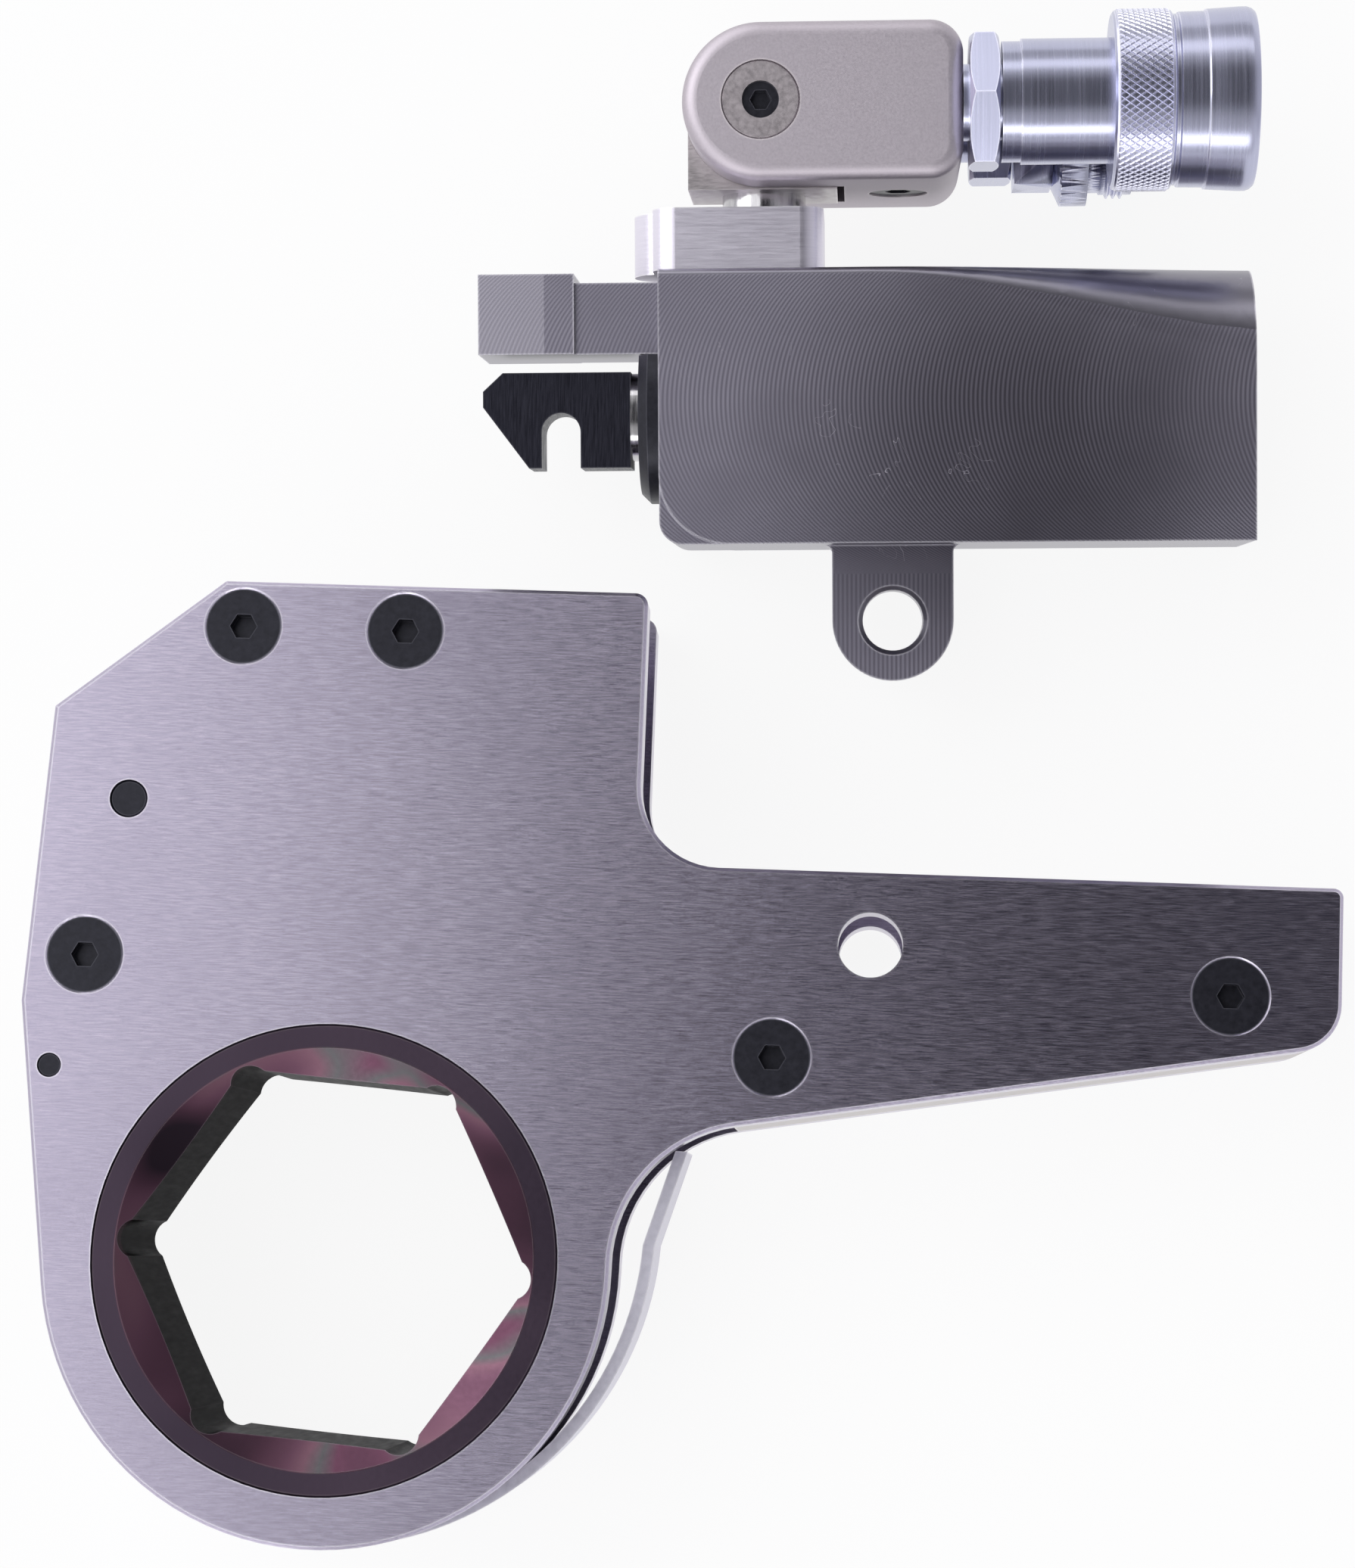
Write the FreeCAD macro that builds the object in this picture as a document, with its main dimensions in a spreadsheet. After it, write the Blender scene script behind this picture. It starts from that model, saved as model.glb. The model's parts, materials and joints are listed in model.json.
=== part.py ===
import FreeCAD, Part
import math
import os
import Sketcher
from FreeCAD import Placement, Rotation, Vector

# Low-profile hydraulic torque wrench, laid flat in its two units: the ratchet link with its reaction
# arm, and the power head that drives it. Millimetres. Origin on the ratchet's axis at the link's back
# face, +X along the reaction arm, +Y up the link, +Z out of the link's front face.

os.makedirs("parts", exist_ok=True)
doc = FreeCAD.newDocument("TorqueWrench")
sheet = doc.addObject("Spreadsheet::Sheet", "Sizes")


class Dim:
    """A size with its value and the spreadsheet expression that gives it."""

    def __init__(self, value, text):
        self.value = value
        self.text = text

    def __add__(self, other):
        other = as_dim(other)
        return Dim(self.value + other.value, f"({self.text} + {other.text})")

    def __sub__(self, other):
        other = as_dim(other)
        return Dim(self.value - other.value, f"({self.text} - {other.text})")

    def __mul__(self, other):
        other = as_dim(other)
        return Dim(self.value * other.value, f"({self.text} * {other.text})")

    def __truediv__(self, other):
        other = as_dim(other)
        return Dim(self.value / other.value, f"({self.text} / {other.text})")

    def __neg__(self):
        return Dim(-self.value, f"(0 - {self.text})")

    __radd__ = __add__
    __rmul__ = __mul__

    def __rsub__(self, other):
        return as_dim(other) - self

    def __rtruediv__(self, other):
        return as_dim(other) / self


def as_dim(number):
    if isinstance(number, Dim):
        return number
    return Dim(float(number), repr(float(number)))


def root(dim):
    return Dim(math.sqrt(dim.value), f"sqrt({dim.text})")


def cosine(degrees):
    degrees = as_dim(degrees)
    return Dim(math.cos(math.radians(degrees.value)), f"cos({degrees.text} * 1 deg)")


def sine(degrees):
    degrees = as_dim(degrees)
    return Dim(math.sin(math.radians(degrees.value)), f"sin({degrees.text} * 1 deg)")


row = 0


def size(name, value):
    """One driving dimension: a number in the sheet under its own alias."""
    global row
    row += 1
    sheet.set(f"A{row}", name)
    sheet.set(f"B{row}", str(value))
    sheet.setAlias(f"B{row}", name)
    return Dim(float(value), f"Sizes.{name}")


# Link: two side plates with spacers between them.
plate = size("plate_thickness", 9)
gap = size("plate_gap", 24)
top = size("plate_top", 142.3)
right = size("recess_edge", 62)
chamfer_x = size("top_chamfer_x", -28.1)
shoulder_x = size("shoulder_x", -63.3)
shoulder_y = size("shoulder_y", 114.3)
kink_x = size("kink_x", -66.7)
kink_y = size("kink_y", 51.5)
ring = size("ring_radius", 59.5)
arm_top = size("arm_top", 84.5)
arm_end = size("arm_end", 209)
arm_low = size("arm_low_at_end", 51.8)
arm_rise = size("arm_underside_slope", 0.1691)
recess_round = size("recess_fillet", 17)
throat_round = size("throat_fillet", 30)
end_round = size("arm_end_fillet", 10)
tip_round = size("arm_tip_fillet", 2)
corner_round = size("plate_corner_fillet", 2.7)
bevel = size("plate_bevel", 0.8)

# Countersunk screws, dowels and the arm's pin hole.
screw = size("screw_radius", 4)
screw_head = size("screw_head_radius", 8)
screw_play = size("screw_clearance", 0.5)
sink_rim = size("countersink_rim", 0.3)
screw_length = size("screw_length", 19)
hex_key = size("screw_key_across_flats", 5)
key_depth = size("screw_key_depth", 2.6)
screw_a_x = size("screw_left_x", -23.9)
screw_b_x = size("screw_middle_x", 10.7)
screw_top_y = size("screw_top_y", 132.6)
screw_c_x = size("screw_side_x", -53.8)
screw_c_y = size("screw_side_y", 61.6)
screw_d_x = size("screw_arm_x", 91.6)
screw_d_y = size("screw_arm_y", 45.2)
screw_e_x = size("screw_end_x", 186.1)
screw_e_y = size("screw_end_y", 61.3)
dowel = size("dowel_radius", 4)
dowel_x = size("dowel_x", -46.3)
dowel_y = size("dowel_y", 94.9)
pawl_pin = size("reaction_pin_radius", 2.5)
pawl_pin_x = size("reaction_pin_x", -59.9)
pawl_pin_y = size("reaction_pin_y", 38.1)
arm_hole = size("arm_hole_radius", 6.8)
arm_hole_x = size("arm_hole_x", 111.3)
arm_hole_y = size("arm_hole_y", 69.3)

# Spacers and guard.
spacer_end = size("top_spacer_end", 22.6)
spacer_low = size("top_spacer_bottom", 126.3)
spacer_bend = size("top_spacer_bend_x", -22)
dowel_wall_x = size("dowel_wall_x", -37)
dowel_wall_top = size("dowel_wall_top", 108)
dowel_wall_low = size("dowel_wall_bottom", 86)
side_inner = size("side_spacer_inner_x", -42)
side_high = size("side_spacer_top", 78)
arm_spacer_x = size("arm_spacer_start", 84)
slot_round = size("lug_slot_fillet", 3)
slot_floor = size("lug_slot_floor", 55)
slot_end = size("lug_slot_end", 131)
guard_wall = size("guard_wall", 2.5)
guard_offset = size("guard_centre_y", 8.9)
guard_lip = size("guard_lip_length", 20.8)
guard_lean = size("guard_lip_lean", 17)
guard_left = size("guard_left_sweep", 65)
guard_right = size("guard_right_sweep", 87)

# Ratchet wheel.
hub = size("hub_radius", 48.75)
hub_play = size("hub_clearance", 0.08)
hub_break = size("hub_edge_break", 0.4)
across = size("hex_across_flats", 75)
hex_turn = size("hex_turn", -3.9)
relief = size("hex_relief_radius", 4.2)
relief_reach = size("hex_relief_reach", 43.5)
mouth = size("hex_mouth_radius", 43.8)
mouth_depth = size("hex_mouth_depth", 4)
teeth = size("tooth_count", 36)
tooth_tip = size("tooth_tip_radius", 55.5)
tooth_root = size("tooth_root_radius", 52)
side_play = size("side_clearance", 0.2)

# Drive lever.
lever_plate = size("drive_plate_thickness", 6.5)
lever_ring = size("drive_ring_radius", 56.4)
drive_x = size("drive_pin_x", 39.9)
drive_y = size("drive_pin_y", 110.3)
drive_pin_r = size("drive_pin_radius", 4)
lever_eye = size("drive_eye_radius", 8)
lever_foot = size("drive_foot_half_width", 30)
pin_play = size("pin_clearance", 0.05)
tip_gap = size("pawl_tip_gap", 0.35)
lever_pawl_pin = size("drive_pawl_pin_radius", 3.5)
lever_pawl_r = size("drive_pawl_pin_distance", 79)
lever_pawl_turn = size("drive_pawl_pin_angle", 63)
lever_pawl_tip = size("drive_pawl_tip_angle", 83)
lever_pawl_eye = size("drive_pawl_eye_radius", 6.5)
rest_pawl_tip = size("reaction_pawl_tip_angle", 164)
rest_pawl_eye = size("reaction_pawl_eye_radius", 4.6)
pawl_toe = size("pawl_toe_depth", 6.5)
coil_wire = size("spring_wire_radius", 0.6)
coil_turns = size("spring_turns", 3)
coil_leg = size("spring_leg", 9)

# Power head.
head_x = size("head_x", 113.8)
head_y = size("head_y", 142)
head_turn = size("head_turn", 2.1)
body_half = size("head_half_thickness", 21)
body_left = size("head_left", -49.6)
body_right = size("head_right", 76.4)
body_low = size("head_bottom", 16.2)
body_high = size("head_top", 74.6)
body_corner = size("head_face_corner", 15)
body_step = size("head_corner_step", 2)
body_outer = size("head_outer_corner", 5)
crown_start = size("crown_start_x", -5)
crown_small = size("crown_round_start", 1.9)
crown_large = size("crown_round_end", 18.7)
lug_half = size("lug_half_width", 13)
lug_depth = size("lug_thickness", 18)
lug_hole = size("lug_hole_radius", 6.5)
lug_flare = size("lug_root_fillet", 1.6)
lug_rim = size("lug_hole_chamfer", 0.95)
nose_left = size("nose_left", -88.7)
nose_low = size("nose_bottom", 57.4)
nose_pad = size("nose_pad_length", 20.6)
nose_depth = size("nose_pad_thickness", 23.6)
nose_thin = size("nose_recess", 1.3)
axis_y = size("cylinder_axis_y", 44.5)
bore = size("cylinder_bore_radius", 16.5)
bore_end = size("cylinder_bore_left", -35)
cap_length = size("end_cap_length", 14)
cap_radius = size("end_cap_radius", 18)
rod = size("rod_radius", 9.5)
rod_play = size("rod_clearance", 0.06)
piston_length = size("piston_length", 18)
piston_gap = size("piston_end_gap", 2)
stroke = size("piston_stroke", 46)
seal_wall = size("seal_wall", 2)
seal_width = size("seal_width", 3)
seal_play = size("seal_clearance", 0.02)
gland_radius = size("gland_radius", 15)
gland_length = size("gland_length", 9)
keeper = size("keeper_radius", 18.8)
keeper_depth = size("keeper_thickness", 4.6)
keeper_chamfer = size("keeper_chamfer", 2)

# Drive hook on the rod.
hook_left = size("hook_left", -88.3)
hook_top = size("hook_top", 53.9)
hook_low = size("hook_bottom", 33.3)
hook_depth = size("hook_thickness", 13)
hook_right = size("hook_right", -56.3)
hook_beak_x = size("hook_beak_x", -84)
hook_beak_y = size("hook_beak_y", 49.9)
hook_chin_y = size("hook_chin_y", 46.5)
hook_tip_x = size("hook_tip_x", -78.4)
notch_x = size("notch_x", -71.4)
notch_y = size("notch_y", 41)
notch = size("notch_radius", 4.2)

# Swivel.
base_left = size("base_left", -51)
base_right = size("base_right", -14.5)
base_high = size("base_top", 87.7)
base_half = size("base_half_depth", 18)
base_corner = size("base_corner", 5)
boss_x = size("base_boss_x", -46.6)
boss = size("base_boss_radius", 9)
post_x = size("post_x", -27.5)
post = size("post_radius", 9)
post_flange = size("post_flange_radius", 11)
flange_depth = size("post_flange_depth", 3.6)
spigot = size("post_spigot_radius", 8)
spigot_depth = size("post_spigot_depth", 8)
knuckle_half = size("knuckle_half_depth", 12.4)
knuckle_wide = size("knuckle_half_width", 15.9)
slot_reach = size("manifold_slot_reach", 17.4)
knuckle_low = size("knuckle_bottom", 92)
pivot_y = size("pivot_y", 109)
cheek = size("manifold_radius", 16.6)
cheek_play = size("cheek_clearance", 0.3)
manifold_half = size("manifold_half_depth", 26.5)
manifold_right = size("manifold_right", 15)
manifold_edge = size("manifold_edge_round", 3.2)
manifold_corner = size("manifold_corner_round", 7)
spindle = size("spindle_radius", 6)
disc = size("pivot_disc_radius", 8.3)
disc_depth = size("pivot_disc_depth", 4)
disc_screw = size("disc_screw_radius", 3.9)
port = size("port_plug_radius", 6.3)
port_x = size("port_plug_x", 1.5)
port_depth = size("port_plug_depth", 5)

# Quick couplers on the manifold's end face.
spread = size("coupler_half_spacing", 18)
port_bore = size("port_bore_radius", 5.5)
port_reach = size("port_reach", 8)
socket_hex = size("socket_hex_across_flats", 27)
socket_hex_start = size("socket_hex_start", 1.3)
socket_hex_end = size("socket_hex_end", 7.5)
socket_neck = size("socket_neck_radius", 8)
socket_body = size("socket_body_radius", 13.1)
socket_body_step = size("socket_body_step", 0.5)
socket_start = size("socket_body_start", 8.1)
socket_end = size("socket_body_end", 57.5)
socket_bore = size("socket_bore_radius", 9.6)
socket_bore_depth = size("socket_bore_depth", 26)
collar_start = size("collar_start", 31)
collar_end = size("collar_end", 43.8)
collar = size("collar_radius", 19)
sleeve_waist = size("sleeve_waist_radius", 18.2)
sleeve_mouth = size("sleeve_mouth_radius", 19.1)
sleeve_end = size("sleeve_end", 60.8)
sleeve_play = size("sleeve_clearance", 0.06)
plug_shank = size("plug_adapter_neck_radius", 7.6)
plug_hex = size("plug_hex_across_flats", 24)
plug_hex_start = size("plug_hex_start", 2.3)
plug_hex_end = size("plug_hex_end", 11.4)
plug_start = size("plug_body_start", 12)
plug_flats = size("plug_body_across_flats", 27)
plug_flats_end = size("plug_flats_end", 20.3)
flange = size("plug_flange_radius", 17.4)
flange_start = size("plug_flange_start", 22.2)
flange_end = size("plug_flange_end", 27.9)
plug_neck = size("plug_neck_radius", 14.6)
thread_start = size("plug_thread_start", 30.8)
thread_end = size("plug_thread_end", 37.8)
thread = size("plug_thread_radius", 15.9)
probe = size("plug_probe_radius", 9.2)
probe_end = size("plug_probe_end", 46)
valve = size("valve_radius", 4.5)
valve_play = size("valve_clearance", 0.05)
valve_length = size("valve_length", 12)
valve_travel = size("valve_travel", 4)
doc.recompute()

full = plate * 2 + gap
front_z = plate + gap
home = Placement()


def bind(item, path, dim):
    item.setExpression(path, as_dim(dim).text)


def new_body(name):
    body = doc.addObject("PartDesign::Body", name)
    body.Label = name
    return body


def datum(body, role):
    for feature in body.Origin.OriginFeatures:
        if feature.Role == role:
            return feature
    raise ValueError(role)


def new_sketch(body, plane, height):
    sketch = body.newObject("Sketcher::SketchObject", "Sketch")
    sketch.AttachmentSupport = (datum(body, plane), [""])
    sketch.MapMode = "FlatFace"
    if height is not None:
        bind(sketch, "AttachmentOffset.Base.z", height)
    return sketch


def hold(sketch, kind, geometry, point, dim):
    index = sketch.addConstraint(Sketcher.Constraint(kind, -1, 1, geometry, point, dim.value))
    sketch.setExpression(f"Constraints[{index}]", dim.text)


def outline(body, points, height=None, plane="XY_Plane"):
    """Closed straight-sided outline whose corners are tied to the sheet."""
    sketch = new_sketch(body, plane, height)
    points = [(as_dim(x), as_dim(y)) for x, y in points]
    count = len(points)
    for index, (x, y) in enumerate(points):
        far_x, far_y = points[(index + 1) % count]
        start = Vector(x.value, y.value, 0)
        sketch.addGeometry(Part.LineSegment(start, Vector(far_x.value, far_y.value, 0)), False)
    for index in range(count):
        sketch.addConstraint(Sketcher.Constraint("Coincident", index, 2, (index + 1) % count, 1))
    for index, (x, y) in enumerate(points):
        hold(sketch, "DistanceX", index, 1, x)
        hold(sketch, "DistanceY", index, 1, y)
    return sketch


def circles(body, rounds, height=None, plane="XY_Plane"):
    """One sketch of circles, each given as centre x, centre y and radius."""
    sketch = new_sketch(body, plane, height)
    for index, (x, y, radius) in enumerate(rounds):
        x, y, radius = as_dim(x), as_dim(y), as_dim(radius)
        circle = Part.Circle(Vector(x.value, y.value, 0), Vector(0, 0, 1), radius.value)
        sketch.addGeometry(circle, False)
        hold(sketch, "DistanceX", index, 3, x)
        hold(sketch, "DistanceY", index, 3, y)
        number = sketch.addConstraint(Sketcher.Constraint("Radius", index, radius.value))
        sketch.setExpression(f"Constraints[{number}]", radius.text)
    return sketch


def pad(body, sketch, length, down=False):
    feature = body.newObject("PartDesign::Pad", "Pad")
    feature.Profile = sketch
    bind(feature, "Length", length)
    feature.Reversed = down
    doc.recompute()
    return feature


def pocket(body, sketch, depth, up=False):
    """Cuts downwards from the sketch, or upwards when asked, and checks that material went."""
    before = body.Shape.Volume
    feature = body.newObject("PartDesign::Pocket", "Pocket")
    feature.Profile = sketch
    bind(feature, "Length", depth)
    feature.Reversed = up
    doc.recompute()
    if body.Shape.Volume > before - 1e-6:
        raise ValueError(f"{body.Label}: a pocket cut nothing")
    return feature


def turn(body, points):
    """Solid of revolution about the body's Z axis from radius and height pairs."""
    sketch = outline(body, points, plane="XZ_Plane")
    feature = body.newObject("PartDesign::Revolution", "Revolution")
    feature.Profile = sketch
    feature.ReferenceAxis = (sketch, ["V_Axis"])
    feature.Angle = 360
    doc.recompute()
    return feature


def groove(body, points):
    before = body.Shape.Volume
    sketch = outline(body, points, plane="XZ_Plane")
    feature = body.newObject("PartDesign::Groove", "Groove")
    feature.Profile = sketch
    feature.ReferenceAxis = (sketch, ["V_Axis"])
    feature.Angle = 360
    doc.recompute()
    if body.Shape.Volume > before - 1e-6:
        raise ValueError(f"{body.Label}: a groove cut nothing")
    return feature


def around(body, original, count):
    feature = body.newObject("PartDesign::PolarPattern", "PolarPattern")
    feature.Originals = [original]
    feature.Axis = (datum(body, "Z_Axis"), [""])
    feature.Angle = 360
    bind(feature, "Occurrences", count)
    body.Tip = feature
    doc.recompute()
    return feature


def hexagon(flats, turned=0, x=0, y=0):
    """Corners of a hexagon of the given width across its flats."""
    corner = as_dim(flats) / root(as_dim(3))
    turned = as_dim(turned)
    return [
        (x + corner * cosine(turned + 60 * step), y + corner * sine(turned + 60 * step))
        for step in range(6)
    ]


def edge_names(shape, test):
    return [f"Edge{index + 1}" for index, edge in enumerate(shape.Edges) if test(edge)]


def upright_at(*places):
    """Picks the edges along Z that stand at the given x and y."""
    spots = [(as_dim(x).value, as_dim(y).value) for x, y in places]

    def test(edge):
        first = edge.Vertexes[0].Point
        last = edge.Vertexes[-1].Point
        if abs(first.x - last.x) > 1e-4 or abs(first.y - last.y) > 1e-4:
            return False
        if abs(first.z - last.z) < 1e-4:
            return False
        return any(math.hypot(first.x - x, first.y - y) < 0.02 for x, y in spots)

    return test


def dress(body, kind, test, amount):
    """A fillet or chamfer on the edges that the test picks."""
    tip = body.Tip
    names = edge_names(tip.Shape, test)
    if not names:
        raise ValueError(f"{body.Label}: no edge to dress")
    feature = body.newObject(f"PartDesign::{kind}", kind)
    feature.Base = (tip, names)
    bind(feature, "Radius" if kind == "Fillet" else "Size", amount)
    doc.recompute()
    return feature


def rim_at(height):
    """Picks the edges of the outer border of the flat face at a height."""
    level = as_dim(height).value

    def pick(shape):
        for face in shape.Faces:
            box = face.BoundBox
            if abs(box.ZMin - level) < 1e-5 and abs(box.ZMax - level) < 1e-5:
                return face.OuterWire.Edges
        return []

    def test_for(shape):
        wanted = pick(shape)
        return lambda edge: any(edge.isSame(other) for other in wanted)

    return test_for


# Pins, screws and holes of the link, as places.
screw_places = [
    (screw_a_x, screw_top_y),
    (screw_b_x, screw_top_y),
    (screw_c_x, screw_c_y),
    (screw_d_x, screw_d_y),
    (screw_e_x, screw_e_y),
]


def under_arm(x):
    """Height of the reaction arm's sloping underside at x."""
    return arm_low - (arm_end - x) * arm_rise


def left_tangent():
    """Point where the plate's left edge runs into the ring."""
    square = kink_x * kink_x + kink_y * kink_y
    along = ring * ring / square
    across_it = ring * root(square - ring * ring) / square
    return kink_x * along - kink_y * across_it, kink_y * along + kink_x * across_it


def side_plate(name, low, outer_up):
    """Side plate: ring round the ratchet, tall head on the left and reaction arm on the right."""
    body = new_body(name)
    tangent_x, tangent_y = left_tangent()
    inner = hub / 2
    points = [
        (chamfer_x, top),
        (shoulder_x, shoulder_y),
        (kink_x, kink_y),
        (tangent_x, tangent_y),
        (inner, tangent_y),
        (inner, under_arm(inner)),
        (arm_end, arm_low),
        (arm_end, arm_top),
        (right, arm_top),
        (right, top),
    ]
    pad(body, outline(body, points, low), plate)
    pad(body, circles(body, [(0, 0, ring)], low), plate)
    slope = 1 + arm_rise * arm_rise
    base = under_arm(as_dim(0))
    meet_x = (root(ring * ring * slope - base * base) - arm_rise * base) / slope
    dress(body, "Fillet", upright_at((meet_x, under_arm(meet_x))), throat_round)
    dress(body, "Fillet", upright_at((right, arm_top)), recess_round)
    dress(body, "Fillet", upright_at((arm_end, arm_low)), end_round)
    dress(body, "Fillet", upright_at((arm_end, arm_top)), tip_round)
    dress(body, "Fillet", upright_at((right, top)), corner_round)
    high = low + plate
    holes = [
        (0, 0, hub + hub_play),
        (dowel_x, dowel_y, dowel + pin_play),
        (pawl_pin_x, pawl_pin_y, pawl_pin + pin_play),
        (arm_hole_x, arm_hole_y, arm_hole),
    ]
    pocket(body, circles(body, holes, high), plate)
    outer = high if outer_up else low
    for x, y in screw_places:
        countersink(body, x, y, outer, outer_up)
    dress(body, "Chamfer", rim_at(outer)(body.Tip.Shape), bevel)
    return body


def countersink(body, x, y, outer, outer_up):
    """Clearance hole with a 90 degree countersink for a flat-head screw."""
    drill = screw + screw_play
    pocket(body, circles(body, [(x, y, drill)], outer), plate, up=not outer_up)
    dress(body, "Chamfer", ring_edge(x, y, drill, outer), screw_head + sink_rim - drill)


def ring_edge(x, y, radius, height):
    """Picks the full circle of a hole's rim at a height."""
    x, y, radius, height = (as_dim(item).value for item in (x, y, radius, height))

    def test(edge):
        curve = edge.Curve
        if not isinstance(curve, Part.Circle) or abs(curve.Radius - radius) > 1e-3:
            return False
        centre = curve.Center
        return math.hypot(centre.x - x, centre.y - y) < 1e-3 and abs(centre.z - height) < 1e-3

    return test


def polar(radius, degrees):
    return radius * cosine(degrees), radius * sine(degrees)


def left_edge(y):
    """The plates' left edge above the kink, at height y."""
    return kink_x + (y - kink_y) * (shoulder_x - kink_x) / (shoulder_y - kink_y)


def spacer(name, points, holes, rounds):
    """Spacer between the side plates with tapped screw holes and rounded corners."""
    body = new_body(name)
    pad(body, outline(body, points, plate), gap)
    for place, radius in rounds:
        dress(body, "Fillet", upright_at(place), radius)
    pocket(body, circles(body, holes, front_z), gap)
    return body


def arm_spacer():
    points = [
        (arm_spacer_x, under_arm(arm_spacer_x)),
        (arm_end, arm_low),
        (arm_end, arm_top),
        (slot_end, arm_top),
        (slot_end, slot_floor),
        (arm_spacer_x, slot_floor),
    ]
    holes = [(screw_d_x, screw_d_y, screw), (screw_e_x, screw_e_y, screw)]
    rounds = [
        ((arm_end, arm_low), end_round),
        ((arm_end, arm_top), tip_round),
        ((slot_end, slot_floor), slot_round),
    ]
    return spacer("arm_spacer", points, holes, rounds)


def top_spacer():
    """Stop block that the power head's nose butts against, carried down to the dowel."""
    points = [
        (chamfer_x, top),
        (spacer_end, top),
        (spacer_end, spacer_low),
        (spacer_bend, spacer_low),
        (dowel_wall_x, dowel_wall_top),
        (dowel_wall_x, dowel_wall_low),
        (left_edge(dowel_wall_low), dowel_wall_low),
        (shoulder_x, shoulder_y),
    ]
    holes = [
        (screw_a_x, screw_top_y, screw),
        (screw_b_x, screw_top_y, screw),
        (dowel_x, dowel_y, dowel),
    ]
    return spacer("top_spacer", points, holes, [])


def side_spacer():
    points = [
        (left_edge(side_high), side_high),
        (side_inner, side_high),
        (side_inner, kink_y),
        (kink_x, kink_y),
    ]
    return spacer("side_spacer", points, [(screw_c_x, screw_c_y, screw)], [])


def cylinder(name, radius, length, sweep=360):
    part = doc.addObject("Part::Cylinder", name)
    bind(part, "Radius", radius)
    bind(part, "Height", length)
    bind(part, "Angle", sweep)
    return part


def cut(name, base, tool):
    part = doc.addObject("Part::Cut", name)
    part.Base = base
    part.Tool = tool
    return part


def band(name, radius, wall, sweep, start, centre_y):
    """Part of a rolled band standing between the plates."""
    outer = cylinder(name + "_outer", radius, gap, sweep)
    inner = cylinder(name + "_inner", radius - wall, gap, 360)
    part = cut(name, outer, inner)
    for piece in (outer, inner):
        piece.Placement.Rotation = Rotation(Vector(0, 0, 1), as_dim(start).value)
        bind(piece, "Placement.Base.y", centre_y)
        bind(piece, "Placement.Base.z", plate)
    return part


def guard_shroud():
    """Rolled guard that follows the ring below and stands off it on the right, ending in a lip."""
    left = band("guard_left", ring, guard_wall, guard_left, 270 - guard_left, 0)
    swept = ring + guard_offset
    right = band("guard_right", swept, guard_wall, guard_right, 270, guard_offset)
    lip = new_body("guard_lip")
    end = 270 + guard_right
    inner = swept - guard_wall
    rise_x = guard_lip * sine(guard_lean)
    rise_y = guard_lip * cosine(guard_lean)
    out_x, out_y = swept * cosine(end), guard_offset + swept * sine(end)
    in_x, in_y = inner * cosine(end), guard_offset + inner * sine(end)
    points = [(in_x, in_y), (out_x, out_y), (out_x + rise_x, out_y + rise_y), (in_x + rise_x, in_y + rise_y)]
    pad(lip, outline(lip, points, plate), gap)
    guard = doc.addObject("Part::MultiFuse", "guard_shroud")
    guard.Shapes = [left, right, lip]
    guard.Refine = True
    guard.Label = "guard_shroud"
    return guard


def flat_screw(name, x, y, facing_up):
    """Flat-head socket screw seated in the plate's countersink."""
    body = new_body(name)
    head = screw_head - screw
    points = [
        (0, 0),
        (screw, 0),
        (screw, screw_length - head),
        (screw_head, screw_length),
        (0, screw_length),
    ]
    turn(body, points)
    pocket(body, outline(body, hexagon(hex_key), screw_length), key_depth)
    reach = screw_length + sink_rim
    height = full - reach if facing_up else reach
    turned = Rotation() if facing_up else Rotation(Vector(1, 0, 0), 180)
    body.Placement = Placement(Vector(x.value, y.value, height.value), turned)
    return body


def screw_group(name, facing_up):
    group = doc.addObject("Part::Compound", name)
    group.Links = [
        flat_screw(f"{name}_{index}", x, y, facing_up)
        for index, (x, y) in enumerate(screw_places)
    ]
    group.Label = name
    return group


def pin(name, x, y, radius, low, high):
    """Dowel with broken edges."""
    body = new_body(name)
    edge = radius / 10
    length = high - low
    points = [
        (0, 0),
        (radius - edge, 0),
        (radius, edge),
        (radius, length - edge),
        (radius - edge, length),
        (0, length),
    ]
    turn(body, points)
    body.Placement.Base = Vector(as_dim(x).value, as_dim(y).value, as_dim(low).value)
    return body


# Levels of the drive train between the plates.
lever_back = plate + side_play
tooth_low = lever_back + lever_plate + side_play
tooth_high = full - tooth_low
lever_front = tooth_high + side_play
tip_circle = tooth_tip + tip_gap
lever_pawl_x, lever_pawl_y = polar(lever_pawl_r, lever_pawl_turn)


def ratchet_wheel():
    """Toothed wheel on two hubs, broached with a hexagon whose corners are relieved."""
    body = new_body("ratchet_wheel")
    pilot = across / 2 - relief / 10
    points = [
        (pilot, mouth_depth),
        (mouth, 0),
        (hub - hub_break, 0),
        (hub, hub_break),
        (hub, tooth_low),
        (tooth_tip, tooth_low),
        (tooth_tip, tooth_high),
        (hub, tooth_high),
        (hub, full - hub_break),
        (hub - hub_break, full),
        (mouth, full),
        (pilot, full - mouth_depth),
    ]
    turn(body, points)
    pitch = 360 / teeth
    past = tooth_tip + tip_gap
    land = pitch / 7
    tooth_gap = [
        polar(past, land),
        polar(tooth_root, pitch),
        polar(past, pitch),
    ]
    first = pocket(body, outline(body, tooth_gap, tooth_high), tooth_high - tooth_low)
    around(body, first, teeth)
    pocket(body, outline(body, hexagon(across, hex_turn), full), full)
    ear_x, ear_y = polar(relief_reach - relief, hex_turn)
    ear = pocket(body, circles(body, [(ear_x, ear_y, relief)], full), full)
    around(body, ear, 6)
    return body


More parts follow.
